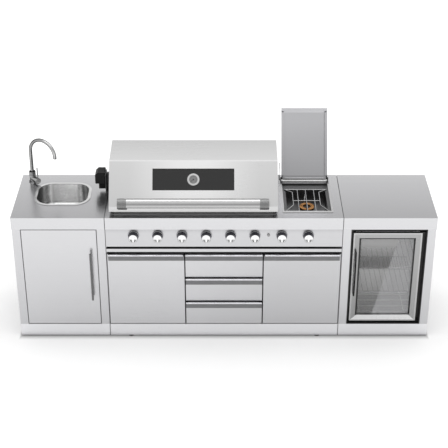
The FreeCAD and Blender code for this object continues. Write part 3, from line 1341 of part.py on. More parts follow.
def bowl_well(label, wall, floor, top):
    """The well's outside or inside: a slab whose four walls slope in towards the floor."""
    wedge = labelled("Part::Wedge", label)
    wedge.Placement.Rotation = FreeCAD.Rotation(Vector(1, 0, 0), 90)
    low = f"(worktop_top - bowl_depth - {floor})"
    left = f"(bowl_left + bowl_side_ledge - {wall})"
    right = f"(bowl_left + bowl_length - bowl_side_ledge + {wall})"
    front = f"(bowl_front + bowl_front_ledge - {wall})"
    back = f"({BOWL_BACK} - bowl_back_ledge + {wall})"
    bind(wedge, Xmin=f"{left} + bowl_slope", Xmax=f"{right} - bowl_slope", X2min=left, X2max=right,
         Ymin="0", Ymax=f"{top} - {low}", Zmin=f"-({back} - bowl_slope)", Zmax=f"-({front} + bowl_slope)",
         Z2min=f"-{back}", Z2max=f"-{front}")
    bind(wedge, Placement__Base__z=low)
    return wedge


def side_burner_bowl():
    """A pressed bowl: a flange on the worktop, a step that carries the pan support and a lower well."""
    right = "(bowl_left + bowl_length)"
    flange = span("bowl_flange_plate", ("bowl_left - bowl_flange", f"{right} + bowl_flange"),
                  ("bowl_front - bowl_flange_front", f"{BOWL_BACK} + bowl_flange_back"),
                  ("worktop_top", RIM_TOP))
    step = "worktop_top - bowl_step"
    upper = span("bowl_upper", ("bowl_left - steel", f"{right} + steel"),
                 ("bowl_front - steel", f"{BOWL_BACK} + steel"), (f"{step} - steel", "worktop_top"))
    upper_cut = span("bowl_upper_cut", ("bowl_left", right), ("bowl_front", BOWL_BACK),
                     (step, f"{RIM_TOP} + 1"))
    well = bowl_well("bowl_well", "steel", "steel", f"{step} - steel")
    well_cut = bowl_well("bowl_well_cut", "0", "0", f"{step} + steel")
    between_ears = "lid_length / 2 - lid_ear - flange_thick / 3"
    upstand = span("bowl_upstand", (f"{BOWL_MIDDLE} - ({between_ears})", f"{BOWL_MIDDLE} + {between_ears}"),
                   (f"{BOWL_BACK} + bowl_flange_back - flange_thick", f"{BOWL_BACK} + bowl_flange_back"),
                   ("worktop_top", f"{RIM_TOP} + upstand_height"))
    blank = joined("bowl_blank", [flange, upper, well, upstand])
    node(without("side_burner_bowl", blank, [upper_cut, well_cut]))


def side_burner_head():
    """The burner's dark base with its raised middle, and the ring that sits around it."""
    floor = "(worktop_top - bowl_depth)"
    base = taper("base_body", "z", BOWL_MIDDLE, "side_burner_y", floor, "side_base_radius",
                 "side_ring_radius - 4",
                 "side_base_height")
    boss = rod("base_boss", "z", BOWL_MIDDLE, "side_burner_y", floor, "side_boss_radius",
               "side_base_height + side_ring_height / 2")
    node(joined("side_burner_base", [base, boss]))
    ring = rod("ring_body", "z", BOWL_MIDDLE, "side_burner_y", f"{floor} + side_base_height",
               "side_ring_radius",
               "side_ring_height")
    bore = rod("ring_bore", "z", BOWL_MIDDLE, "side_burner_y", f"{floor} + side_base_height - 1",
               "side_boss_radius + hole_gap", "side_ring_height + 2")
    node(without("side_burner_ring", ring, [bore]))


def value(text):
    """What an expression over the driving sizes comes to."""
    return float(nodes[0].evalExpression(linked(text)))


def wire(label, start, end, radius):
    """A round wire between two points."""
    first = Vector(*[value(part) for part in start])
    last = Vector(*[value(part) for part in end])
    cylinder = labelled("Part::Cylinder", label)
    cylinder.Placement = FreeCAD.Placement(first, FreeCAD.Rotation(Vector(0, 0, 1), last - first))
    cylinder.Height = (last - first).Length
    bind(cylinder, Radius=radius)
    return cylinder


def knee(label, place, radius):
    """A ball that closes the bend between two wires."""
    ball = labelled("Part::Sphere", label)
    ball.Placement.Base = Vector(*[value(part) for part in place])
    bind(ball, Radius=radius)
    return ball


def pan_support():
    """A frame of bent wires that rests on the bowl's step, with thinner wires across it."""
    level = "(worktop_top - bowl_step + wire_radius + wire_weld)"
    bends = [(f"{BOWL_MIDDLE} {side} {out}", y, level) for side, out, y in (
        ("-", "wire_corner", "wire_front"), ("-", "wire_side", "wire_front_bend"),
        ("-", "wire_side", "wire_back_bend"),
        ("-", "wire_corner", "wire_back"), ("+", "wire_corner", "wire_back"),
        ("+", "wire_side", "wire_back_bend"),
        ("+", "wire_side", "wire_front_bend"), ("+", "wire_corner", "wire_front"))]
    pieces = [wire(f"pan_frame_{i}", start, end, "wire_radius")
              for i, (start, end) in enumerate(zip(bends, bends[1:]))]
    pieces += [knee(f"pan_knee_{i}", place, "wire_radius + wire_weld") for i, place in enumerate(bends)]
    for i, offset in enumerate(("- wire_pitch", "+ 0", "+ wire_pitch")):
        x = f"{BOWL_MIDDLE} {offset}"
        pieces.append(wire(f"pan_rung_{i}", (x, "wire_back", level), (x, "wire_front", level),
                           "wire_radius - wire_thinner"))
    pieces.append(wire("pan_cross_wire", (f"{BOWL_MIDDLE} - wire_side", "wire_middle", level),
                       (f"{BOWL_MIDDLE} + wire_side", "wire_middle", level),
                       "wire_radius - 2 * wire_thinner"))
    node(joined("pan_support", pieces))


def side_burner_lid():
    """A shallow lid with folded sides and a slanted nose, drawn shut and then swung open.

    It is drawn from its hinge line: -Y runs to the lid's front edge and -Z to its underside.
    """
    left = f"({BOWL_MIDDLE} - lid_length / 2)"
    right = f"({BOWL_MIDDLE} + lid_length / 2)"
    reach = f"-{LID_REACH}"
    plate = [("-lid_start", "0"), ("-lid_start", "lid_steel"), (reach, "lid_steel"),
             (f"{reach} - lid_nose", "lid_steel - lid_nose_drop"),
             (f"{reach} - lid_nose", "-lid_nose_drop"),
             (reach, "0")]
    pieces = [prism("lid_plate", "YZ", plate, "lid_length", x=left)]
    for side, wall, hem, ear in (
            ("left", (left, f"{left} + lid_steel"), (left, f"{left} + lid_hem"),
             (left, f"{left} + lid_ear")),
            ("right", (f"{right} - lid_steel", right), (f"{right} - lid_hem", right),
             (f"{right} - lid_ear", right))):
        pieces.append(span(f"lid_{side}_wall", wall, (reach, "-lid_start"), ("-lid_flange", "lid_steel")))
        pieces.append(span(f"lid_{side}_hem", hem, (reach, "-2 * lid_ear"),
                           ("-lid_flange", "lid_hem_thick - lid_flange")))
        pieces.append(span(f"lid_{side}_ear", ear, ("-lid_start - lid_steel", "lid_pin + lid_steel"),
                           ("-lid_pin - lid_steel", "lid_pin + lid_steel")))
    bores = [rod(f"lid_{side}_bore", "x", x, "0", "0", "lid_pin + hole_gap", "lid_ear + 2")
             for side, x in (("left", f"{left} - 1"), ("right", f"{right} - lid_ear - 1"))]
    lid = node(without("side_burner_lid", joined("lid_blank", pieces), bores))
    lid.Placement.Rotation = FreeCAD.Rotation(Vector(-1, 0, 0), 1)
    bind(lid, Placement__Rotation__Angle="lid_open")
    bind(lid, Placement__Base__y=LID_HINGE_Y, Placement__Base__z="lid_hinge_z")


# Fridge

CASE_LEFT = f"({SEAM} + stile_width + steel)"
CASE_RIGHT = f"({END} - stile_width - steel)"
CASE_TOP = f"({LIP_BOTTOM} - top_rail - fridge_top_gap)"
FRIDGE_DOOR_TOP = f"({CASE_TOP} - fridge_door_drop)"
FRIDGE_DOOR_RIGHT = "(fridge_door_left + fridge_door_length)"
FRIDGE_DOOR_BACK = "(fridge_front - seal_thick)"
FRIDGE_DOOR_FACE = f"({FRIDGE_DOOR_BACK} - fridge_door_thick)"
FRIDGE_PIVOT_X = f"({FRIDGE_DOOR_RIGHT} - fridge_pivot_inset)"
FRIDGE_PIVOT_Y = f"({FRIDGE_DOOR_FACE} + fridge_pivot_depth)"
CAVITY_X = (f"({CASE_LEFT} + fridge_wall)", f"({CASE_RIGHT} - fridge_wall)")
CAVITY_Z = ("(plinth_top + fridge_wall)", f"({CASE_TOP} - fridge_wall)")
CAVITY_BACK = "(fridge_back - fridge_wall)"


def fridge_body():
    """The insulated case with a dark collar in front, shelf rails, hinge brackets and pins."""
    case = span("fridge_case", (CASE_LEFT, CASE_RIGHT), ("fridge_front", "fridge_back"),
                ("plinth_top", CASE_TOP))
    cavity = span("fridge_cavity", CAVITY_X, ("fridge_front - 1", CAVITY_BACK), CAVITY_Z)
    collar_front = f"({BODY_FRONT} + steel)"
    collar = span("collar_outer", (CASE_LEFT, CASE_RIGHT), (collar_front, "fridge_front"),
                  ("plinth_top", CASE_TOP))
    opening = span("collar_inner", (f"{CASE_LEFT} + 2 * steel", f"{CASE_RIGHT} - 2 * steel"),
                   (f"{collar_front} - 1", "fridge_front + 1"),
                   ("plinth_top + 2 * steel", f"{CASE_TOP} - 2 * steel"))
    hump_x = (f"{CAVITY_X[0]} - fridge_wall / 2", f"{CAVITY_X[1]} + fridge_wall / 2")
    hump = span("fridge_hump", CAVITY_X, (f"{CAVITY_BACK} - hump_depth", CAVITY_BACK),
                (CAVITY_Z[0], f"{CAVITY_Z[0]} + hump_height"))
    machine_room = span("machine_room", hump_x,
                        (f"{CAVITY_BACK} - hump_depth + 2 * steel", f"{CAVITY_BACK} + fridge_wall / 2"),
                        (f"{CAVITY_Z[0]} - fridge_wall / 2", f"{CAVITY_Z[0]} + hump_height - 2 * steel"))
    inner_case = joined("fridge_inner_case", [without("fridge_hollow_case", case, [cavity]), hump])
    pieces = [without("fridge_roomy_case", inner_case, [machine_room]),
              without("fridge_collar", collar, [opening])]
    for i in range(int(size("shelf_count"))):
        level = f"shelf_first + {i} * shelf_pitch"
        for side, edge in (("left", (CAVITY_X[0], f"{CAVITY_X[0]} + shelf_rest")),
                           ("right", (f"{CAVITY_X[1]} - shelf_rest", CAVITY_X[1]))):
            pieces.append(span(f"shelf_rail_{i}_{side}", edge,
                               ("fridge_front + shelf_front_gap", CAVITY_BACK),
                               (f"{level} - shelf_rest", level)))
    for name, low, pin_low in (
            ("top", f"({FRIDGE_DOOR_TOP} + seat_gap)", f"{FRIDGE_DOOR_TOP} - hinge_reach"),
            ("bottom", "(fridge_door_bottom - seat_gap - fridge_bracket_thick)",
             "fridge_door_bottom - seat_gap")):
        pieces.append(span(f"{name}_bracket",
                           (f"{FRIDGE_PIVOT_X} - fridge_pivot_depth / 2", f"{CASE_RIGHT} - steel"),
                           (f"{FRIDGE_PIVOT_Y} - fridge_pivot_depth / 2", "fridge_front"),
                           (low, f"{low} + fridge_bracket_thick")))
        pieces.append(rod(f"{name}_pin", "z", FRIDGE_PIVOT_X, FRIDGE_PIVOT_Y, pin_low, "hinge_radius",
                          "hinge_reach + seat_gap"))
    node(joined("fridge_body", pieces))


def fridge_shelves():
    """Wire shelves on the case's rails."""
    bars = int(size("shelf_bars"))
    left = f"({CAVITY_X[0]} + shelf_rest / 2)"
    length = f"({CAVITY_X[1]} - shelf_rest / 2 - {left})"
    front = "(fridge_front + shelf_front_gap + shelf_bar)"
    back = f"({CAVITY_BACK} - shelf_bar - seat_gap)"
    shelves = []
    for i in range(int(size("shelf_count"))):
        level = f"shelf_first + {i} * shelf_pitch + shelf_bar"
        pieces = [rod(f"shelf_{i}_wire_{j}", "y", f"{left} + {j} * {length} / {bars - 1}", front, level,
                      "shelf_wire",
                      f"{back} - {front}") for j in range(bars)]
        for name, place in (("front", front), ("back", back)):
            pieces.append(rod(f"shelf_{i}_{name}_bar", "x", f"{left} - shelf_bar", place, level,
                              "shelf_bar",
                              f"{length} + 2 * shelf_bar"))
        shelves.append(joined(f"shelf_{i}", pieces))
    node(grouped("fridge_shelves", shelves))


def door_ring(label, grow, y):
    """A frame in the fridge door's plane; the four rails keep their own widths."""
    outer = span(label + "_outer", ("fridge_door_left", FRIDGE_DOOR_RIGHT), y,
                 ("fridge_door_bottom", FRIDGE_DOOR_TOP))
    across = (f"fridge_door_left + frame_left - {grow}", f"{FRIDGE_DOOR_RIGHT} - frame_right + {grow}")
    tall = (f"fridge_door_bottom + frame_bottom - {grow}", f"{FRIDGE_DOOR_TOP} - frame_top + {grow}")
    inner = span(label + "_inner", across, (f"{y[0]} - 1", f"{y[1]} + 1"), tall)
    return without(label, outer, [inner])


def fridge_door():
    """The door's frame, with a rebate at the back for the pane and holes for the hinge pins."""
    middle = f"({FRIDGE_DOOR_FACE} + frame_step)"
    front = door_ring("door_front_ring", "0", (FRIDGE_DOOR_FACE, middle))
    back = door_ring("door_back_ring", "pane_lap", (middle, FRIDGE_DOOR_BACK))
    holes = [rod(f"fridge_{name}_hole", "z", FRIDGE_PIVOT_X, FRIDGE_PIVOT_Y, low, "hinge_radius + hole_gap",
                 "hinge_reach + hole_gap + 1")
             for name, low in (("low", "fridge_door_bottom - 1"),
                               ("high", f"{FRIDGE_DOOR_TOP} - hinge_reach - hole_gap"))]
    node(without("fridge_door", joined("fridge_door_blank", [front, back]), holes))


def fridge_glass():
    across = ("fridge_door_left + frame_left - pane_lap", f"{FRIDGE_DOOR_RIGHT} - frame_right + pane_lap")
    tall = ("fridge_door_bottom + frame_bottom - pane_lap", f"{FRIDGE_DOOR_TOP} - frame_top + pane_lap")
    node(span("fridge_door_glass", across, (f"({FRIDGE_DOOR_FACE} + frame_step)", FRIDGE_DOOR_BACK), tall))


def fridge_seal():
    """The soft frame between the door and the case."""
    left = "(fridge_door_left + seal_inset)"
    right = f"({FRIDGE_DOOR_RIGHT} - seal_inset)"
    low = "(fridge_door_bottom + seal_inset)"
    high = f"({FRIDGE_DOOR_TOP} - seal_inset)"
    outer = span("seal_outer", (left, right), (FRIDGE_DOOR_BACK, "fridge_front"), (low, high))
    inner = span("seal_inner", (f"{left} + seal_width", f"{right} - seal_width"),
                 (f"{FRIDGE_DOOR_BACK} - 1", "fridge_front + 1"),
                 (f"{low} + seal_width", f"{high} - seal_width"))
    node(without("fridge_door_seal", outer, [inner]))


def fridge_handle():
    """A slim bowed bar between two posts on the door's left rail."""
    radius = "((fridge_bar_length ^ 2 / 4 + fridge_bar_bow ^ 2) / (2 * fridge_bar_bow))"
    half_angle = f"asin(fridge_bar_length / 2 / {radius})"
    x = "fridge_door_left + fridge_bar_inset"
    ends_y = f"({FRIDGE_DOOR_FACE} - fridge_bar_reach)"
    bow = labelled("Part::Torus", "fridge_bow")
    turn = FreeCAD.Rotation(Vector(0, -1, 0), Vector(0, 0, 1), Vector(-1, 0, 0), "XYZ")
    bow.Placement.Rotation = turn.multiply(FreeCAD.Rotation(Vector(0, 0, 1), -value(half_angle)))
    bind(bow, Radius1=radius, Radius2="fridge_bar_radius", Angle3=f"2 * {half_angle}")
    bind(bow, Placement__Base__x=x, Placement__Base__y=f"{ends_y} - fridge_bar_bow + {radius}",
         Placement__Base__z="fridge_bar_bottom + fridge_bar_length / 2")
    pieces = [bow]
    for i, z in enumerate(("fridge_bar_bottom", "fridge_bar_bottom + fridge_bar_length")):
        pieces.append(rod(f"fridge_bar_post_{i}", "-y", x, FRIDGE_DOOR_FACE, z, "fridge_bar_radius",
                          "fridge_bar_reach"))
        tip = labelled("Part::Sphere", f"fridge_bar_tip_{i}")
        bind(tip, Radius="fridge_bar_radius")
        bind(tip, Placement__Base__x=x, Placement__Base__y=ends_y, Placement__Base__z=z)
        pieces.append(tip)
    node(joined("fridge_handle", pieces))


def main():
    side_cabinet("sink_cabinet", f"(side_setback - {END})", f"(-{SEAM} - side_setback)")
    grill_cabinet()
    side_cabinet("fridge_cabinet", f"({SEAM} + side_setback)", f"({END} - side_setback)")
    for build in (back_panels, feet, module_bolts, worktops, sink_door, sink_door_handle, grill_doors,
                  drawers,
                  drawer_runners, hinge_pins, sink_bowl, sink_drain, tap_body, tap_spout, tap_lever,
                  control_panel, gas_manifold, knob_bezels, knobs, igniter_button, firebox, burners,
                  cooking_grates, rear_burner, warming_rack, grease_tray, hood_shell, hood_window,
                  hood_handle, thermometer, rotisserie_motor, motor_bracket, spit_rod, side_burner_bowl,
                  side_burner_head, pan_support, side_burner_lid, fridge_body, fridge_shelves, fridge_door,
                  fridge_glass, fridge_seal, fridge_handle):
        build()
    doc.recompute()
    for thing in doc.Objects:
        if "Invalid" in thing.State or "Error" in thing.State:
            raise RuntimeError(f"{thing.Label} did not build: {thing.State}")
    os.makedirs("parts", exist_ok=True)
    for thing in nodes:
        shape = thing.Shape
        if shape.isNull() or not shape.isValid():
            raise RuntimeError(f"{thing.Label} has no valid shape")
        shape.exportStep(f"parts/{thing.Label}.step")
        print(thing.Label, len(shape.Solids), round(shape.Volume))


main()
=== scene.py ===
import math
import bmesh
import bpy
from mathutils import Matrix, Vector


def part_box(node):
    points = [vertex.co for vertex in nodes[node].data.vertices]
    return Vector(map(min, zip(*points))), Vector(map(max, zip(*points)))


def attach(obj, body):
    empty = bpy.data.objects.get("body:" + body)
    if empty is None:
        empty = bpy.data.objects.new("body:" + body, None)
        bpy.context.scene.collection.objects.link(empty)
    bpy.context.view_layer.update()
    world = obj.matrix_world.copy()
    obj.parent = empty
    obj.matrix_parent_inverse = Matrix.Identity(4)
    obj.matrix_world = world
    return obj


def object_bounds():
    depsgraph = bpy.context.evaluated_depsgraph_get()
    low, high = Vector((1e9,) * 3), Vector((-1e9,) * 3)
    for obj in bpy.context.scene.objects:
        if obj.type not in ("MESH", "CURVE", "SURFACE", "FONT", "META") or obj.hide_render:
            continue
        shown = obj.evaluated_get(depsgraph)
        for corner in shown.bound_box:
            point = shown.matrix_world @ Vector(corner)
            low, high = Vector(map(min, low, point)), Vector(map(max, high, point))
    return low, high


# An outdoor kitchen island in brushed stainless steel, on a pale studio floor.
# Lengths are in metres, angles in degrees, and colours are linear.

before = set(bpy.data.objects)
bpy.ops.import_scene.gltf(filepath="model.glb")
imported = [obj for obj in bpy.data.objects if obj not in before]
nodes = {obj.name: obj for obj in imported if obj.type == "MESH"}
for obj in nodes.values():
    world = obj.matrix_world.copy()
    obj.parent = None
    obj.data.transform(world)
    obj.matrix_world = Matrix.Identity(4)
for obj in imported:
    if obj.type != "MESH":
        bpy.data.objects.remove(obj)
cad_low, cad_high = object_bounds()
MM = 0.001
KNOBS = tuple(f"knob_{number}" for number in range(1, 9))


# Shader helpers


def new_material(name):
    material = bpy.data.materials.new(name)
    material.use_nodes = True
    shader = material.node_tree.nodes["Principled BSDF"]
    return material, material.node_tree, shader


def add_node(tree, kind, **settings):
    made = tree.nodes.new(kind)
    for key, setting in settings.items():
        setattr(made, key, setting)
    return made


def link(tree, source, target):
    tree.links.new(source, target)


def feed(tree, socket, given):
    """Link a socket to another node's output, or give it a value of its own."""
    if isinstance(given, bpy.types.NodeSocket):
        link(tree, given, socket)
    elif isinstance(given, tuple) and socket.type == "RGBA":
        socket.default_value = (*given, 1)
    else:
        socket.default_value = given


def math_node(tree, operation, *values):
    made = add_node(tree, "ShaderNodeMath", operation=operation)
    for socket, given in zip(made.inputs, values):
        feed(tree, socket, given)
    return made.outputs[0]


def plus(tree, first, second):
    return math_node(tree, "ADD", first, second)


def minus(tree, first, second):
    return math_node(tree, "SUBTRACT", first, second)


def times(tree, first, second):
    return math_node(tree, "MULTIPLY", first, second)


def apart(tree, value, middle=0.0):
    """How far a value lies from a middle, on either side of it."""
    return math_node(tree, "ABSOLUTE", minus(tree, value, middle))


def reach(tree, first, second):
    """The length of a slanting line whose two sides are known."""
    squares = [math_node(tree, "POWER", side, 2.0) for side in (first, second)]
    return math_node(tree, "SQRT", plus(tree, *squares))


def smallest(tree, first, *others):
    for other in others:
        first = math_node(tree, "MINIMUM", first, other)
    return first


def above(tree, value, limit):
    """A mask of the places where a value is over its limit."""
    return math_node(tree, "GREATER_THAN", value, limit)


def below(tree, value, limit):
    """A mask of the places where a value is under its limit."""
    return math_node(tree, "LESS_THAN", value, limit)


def both(tree, first, second):
    """A mask of the places that two masks share."""
    return times(tree, first, second)


def either(tree, first, second):
    """A mask of the places that lie in one mask or the other."""
    return math_node(tree, "MAXIMUM", first, second)


def between(tree, value, low, high):
    """A mask of the places where a value lies between two limits."""
    return both(tree, above(tree, value, low), below(tree, value, high))


def remap(tree, source, low, high, to_low, to_high):
    """A value carried from one range to another, and held at the ends of the new one."""
    made = add_node(tree, "ShaderNodeMapRange")
    for socket, given in zip(made.inputs, (source, low, high, to_low, to_high)):
        feed(tree, socket, given)
    return made.outputs["Result"]


def choose(tree, mask, when_off, when_on):
    """One of two levels, or a mix of them where the mask is between 0 and 1."""
    made = add_node(tree, "ShaderNodeMix", data_type="FLOAT")
    for place, given in ((0, mask), (2, when_off), (3, when_on)):
        feed(tree, made.inputs[place], given)
    return made.outputs[0]


def blend_colours(tree, factor, first, second):
    made = add_node(tree, "ShaderNodeMix", data_type="RGBA")
    for place, given in ((0, factor), (6, first), (7, second)):
        feed(tree, made.inputs[place], given)
    return made.outputs[2]


def scale_colour(tree, colour, tone):
    """A colour made brighter or darker by a tone, where 1 leaves it as it is."""
    made = add_node(tree, "ShaderNodeVectorMath", operation="SCALE")
    feed(tree, made.inputs[0], colour)
    feed(tree, made.inputs["Scale"], tone)
    return made.outputs[0]


def grey(level):
    return (level, level, level)


def grey_ramp(tree, value, stops):
    """A grey that follows a value through stops of (place, level)."""
    ramp = add_node(tree, "ShaderNodeValToRGB")
    link(tree, value, ramp.inputs["Fac"])
    marks = ramp.color_ramp.elements
    for mark, (place, level) in ((marks[0], stops[0]), (marks[1], stops[-1])):
        mark.position = place
        mark.color = (*grey(level), 1)
    for place, level in stops[1:-1]:
        marks.new(place).color = (*grey(level), 1)
    return ramp.outputs["Color"]


def coordinates(tree, source):
    return add_node(tree, "ShaderNodeTexCoord").outputs[source]


def split_axes(tree, source):
    axes = add_node(tree, "ShaderNodeSeparateXYZ")
    link(tree, coordinates(tree, source), axes.inputs[0])
    return axes.outputs["X"], axes.outputs["Y"], axes.outputs["Z"]


def place_axes(tree):
    """The surface point in the object's own frame, as X, Y and Z."""
    return split_axes(tree, "Object")


def facing_axes(tree):
    """The way the surface faces in the object's own frame, as X, Y and Z."""
    return split_axes(tree, "Normal")


def faces_front(tree):
    """A mask of the surfaces that face the front, in the object's own frame."""
    _, backward, _ = facing_axes(tree)
    return below(tree, backward, -0.5)


def faces_sideways(tree):
    """A mask of the surfaces that face left or right, in the object's own frame."""
    sideways, _, _ = facing_axes(tree)
    return above(tree, apart(tree, sideways), 0.7)


def turned_away(tree, low, high):
    """0 where a surface faces the eye, and 1 where it turns away from it."""
    turn = add_node(tree, "ShaderNodeLayerWeight")
    turn.inputs["Blend"].default_value = 0.5
    return remap(tree, turn.outputs["Facing"], low, high, 0, 1)


# Shared effects, each a node group


def start_group(name, label, start, outputs):
    """A node group with one input and its start value, and with number outputs."""
    group = bpy.data.node_groups.new(name, "ShaderNodeTree")
    kind = "NodeSocketVector" if isinstance(start, tuple) else "NodeSocketFloat"
    group.interface.new_socket(label, in_out="INPUT", socket_type=kind).default_value = start
    for output in outputs:
        group.interface.new_socket(output, in_out="OUTPUT", socket_type="NodeSocketFloat")
    given = add_node(group, "NodeGroupInput").outputs[label]
    return group, given, add_node(group, "NodeGroupOutput").inputs


def noise(tree, place, **settings):
    made = add_node(tree, "ShaderNodeTexNoise")
    link(tree, place, made.inputs["Vector"])
    for label, given in settings.items():
        feed(tree, made.inputs[label], given)
    return made.outputs["Fac"]


def make_brushing():
    """Fine streaks along one direction; Scale is small along the streaks and large across them."""
    group, scale, result = start_group("Brushing", "Scale", (4, 500, 500), ("Height", "Streaks"))
    mapping = add_node(group, "ShaderNodeMapping")
    link(group, coordinates(group, "Object"), mapping.inputs["Vector"])
    link(group, scale, mapping.inputs["Scale"])
    place = mapping.outputs["Vector"]
    fine = noise(group, place, Scale=1.0, Detail=5.0, Roughness=0.7)
    broad = noise(group, place, Scale=0.14, Detail=2.0)
    link(group, fine, result["Height"])
    link(group, plus(group, times(group, fine, 0.85), times(group, broad, 0.15)), result["Streaks"])
    return group


def make_wipe_marks():
    """Large soft patches, as on steel that has been wiped by hand."""
    group, size, result = start_group("Wipe marks", "Size", 3.0, ("Mask",))
    soft = noise(group, coordinates(group, "Object"), Scale=size, Detail=3.0, Distortion=0.6)
    link(group, remap(group, soft, 0.35, 0.7, 0, 1), result["Mask"])
    return group


def make_worn_edges():
    """Lighter along outer edges, from the surface's own sharpness."""
    group, amount, result = start_group("Worn edges", "Amount", 0.5, ("Mask",))
    shape = add_node(group, "ShaderNodeNewGeometry")
    sharp = remap(group, shape.outputs["Pointiness"], 0.52, 0.6, 0, 1)
    link(group, times(group, sharp, amount), result["Mask"])
    return group


def make_grit():
    """Fine even grain for castings, moulded plastic and enamel."""
    group, scale, result = start_group("Grit", "Scale", 900.0, ("Height", "Speckle"))
    grain = noise(group, coordinates(group, "Object"), Scale=scale, Detail=4.0)
    link(group, grain, result["Height"])
    link(group, remap(group, grain, 0.4, 0.65, 0, 1), result["Speckle"])
    return group


BRUSHING = make_brushing()
WIPE_MARKS = make_wipe_marks()
WORN_EDGES = make_worn_edges()
GRIT = make_grit()


def use_group(tree, group, **settings):
    """The outputs of a shared effect, used with these settings."""
    made = add_node(tree, "ShaderNodeGroup", node_tree=group)
    for label, given in settings.items():
        feed(tree, made.inputs[label], given)
    return made.outputs


def bump(tree, shader, height, strength, distance):
    made = add_node(tree, "ShaderNodeBump")
    made.inputs["Strength"].default_value = strength
    made.inputs["Distance"].default_value = distance
    link(tree, height, made.inputs["Height"])
    link(tree, made.outputs["Normal"], shader.inputs["Normal"])


def fine_grain(tree, shader, scale, strength, distance):
    """Roughen a surface with grit, and return where the grit is speckled."""
    grit = use_group(tree, GRIT, Scale=scale)
    bump(tree, shader, grit["Height"], strength, distance)
    return grit["Speckle"]


def wiped_roughness(tree, shader, size, low, high):
    """Roughness that is higher on wiped patches of a size; returns where those patches are."""
    mask = use_group(tree, WIPE_MARKS, Size=size)["Mask"]
    link(tree, remap(tree, mask, 0, 1, low, high), shader.inputs["Roughness"])
    return mask


# Directions of the brushing, as noise scales along X, Y and Z

ALONG_X = (0.6, 700, 700)
ALONG_Z = (700, 700, 0.6)


# Places that the finishes follow

FRONT_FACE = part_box("control_panel")[0].y
WORKTOP_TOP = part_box("grill_worktop")[1].z
MODULE_SEAM = (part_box("grill_worktop")[1].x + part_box("fridge_worktop")[0].x) / 2
FRIDGE_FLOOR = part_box("fridge_body")[0].z + 32 * MM
SHELF_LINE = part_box("fridge_shelves")[1].z + 10 * MM

# The fold between the hood's face and its top
CREASE_DEPTH = -0.084
CREASE_HEIGHT = 1.219

# The rim of the fridge's glass that its frame covers, and the printed border inside that rim
GLASS_RIM = 10 * MM
BORDER_LEFT = 13 * MM
BORDER_RIGHT = 8 * MM
BORDER_FOOT = 2 * MM
BORDER_HEAD = 15 * MM

# The slanting edge of the painted sheen, a painted reflection, on the fridge's glass, as (across, height)
SHEEN_FOOT = (0.985, 0.16)
SHEEN_HEAD = (1.135, 0.75)

# A knob's bright face: its radius, how far back it reaches and how far in its pockets start
FACE_RADIUS = 27 * MM
FACE_DEPTH = 9 * MM
POCKET_START = 1.5 * MM

# The part of the burner well's flange that lies behind the well, and each post of the hood's handle
BACK_FLANGE = 0.165
POST_LENGTH = 58 * MM


# Tones: where a steel is lighter or darker than its own level, as a share of it; apart from the dark seams,
# these are painted light and shade


def seam_mask(tree, across):
    """A narrow strip on both sides of the two seams between the modules."""
    return below(tree, apart(tree, apart(tree, across), MODULE_SEAM), 2.4 * MM)


def worktop_tone(tree):
    """Painted shade darkens the flat top a little towards the front, a painted highlight makes the lip
    brightest, and the seams are dark.
    """
    across, depth, _ = place_axes(tree)
    _, _, up = facing_axes(tree)
    low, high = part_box("sink_worktop")
    flat = remap(tree, depth, low.y, high.y, 0.80, 1.04)
    shade = choose(tree, above(tree, up, 0.5), 1.14, flat)
    return choose(tree, seam_mask(tree, across), shade, 0.35)


def cabinet_tone(tree):
    """Painted shade darkens the faces behind the fronts and dulls the outer sides, and a painted highlight
    brightens the plinth; the seams are dark.
    """
    across, depth, height = place_axes(tree)
    recess = between(tree, depth, FRONT_FACE + 4 * MM, FRONT_FACE + 60 * MM)
    behind = both(tree, recess, faces_front(tree))
    plinth = below(tree, height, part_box("left_door")[0].z - 3 * MM)
    shade = choose(tree, seam_mask(tree, across), choose(tree, plinth, 0.98, 1.42), 0.35)
    return choose(tree, behind, choose(tree, faces_sideways(tree), shade, 0.8), 0.03)


def front_tone(tree):
    """Painted shade makes door and drawer edges and hems darker than their faces, darkens the underside of
    each pull, and darkens the faces a little towards the right.
    """
    across, depth, height = place_axes(tree)
    _, _, up = facing_axes(tree)
    low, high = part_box("sink_door")
    edge = both(tree, faces_sideways(tree), below(tree, depth, FRONT_FACE + 17 * MM))
    leaning = both(tree, below(tree, up, -0.2), faces_front(tree))
    outer = above(tree, apart(tree, across, (low.x + high.x) / 2), (high.x - low.x) / 2 - 2.6 * MM)
    sides = both(tree, outer, below(tree, across, high.x + 1 * MM))
    ends = either(tree, below(tree, height, low.z + 3 * MM), above(tree, height, high.z - 2 * MM))
    face = choose(tree, either(tree, sides, ends), remap(tree, across, -0.25, 0.35, 1.0, 0.9), 0.3)
    return choose(tree, edge, choose(tree, leaning, face, 0.42), 0.2)


def hood_tone(tree):
    """A painted highlight glows on the face round the window and along the crease, painted light brightens
    the top towards its crease, and painted shade dulls the foot and back.
    """
    across, depth, height = place_axes(tree)
    _, backward, up = facing_axes(tree)
    near_crease = below(tree, apart(tree, depth, CREASE_DEPTH), 4 * MM)
    crease = both(tree, near_crease, above(tree, height, CREASE_HEIGHT - 8 * MM))
    strip = both(tree, below(tree, backward, -0.95), below(tree, height, WORKTOP_TOP + 70 * MM))
    low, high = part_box("hood_window")
    # Painted highlight: the face is brightest round the window
    painted_window_glow = remap(tree, apart(tree, across, (low.x + high.x) / 2), 0.1, 0.42, 1.16, 0.97)
    face = times(tree, painted_window_glow, remap(tree, height, WORKTOP_TOP + 60 * MM, CREASE_HEIGHT, 0.95, 1.02))
    top = remap(tree, depth, CREASE_DEPTH, CREASE_DEPTH + 0.26, 1.07, 0.93)
    plain = choose(tree, above(tree, up, 0.9), face, top)
    lit = choose(tree, strip, choose(tree, crease, plain, 1.2), 0.9)
    return choose(tree, above(tree, backward, 0.5), lit, 0.66)


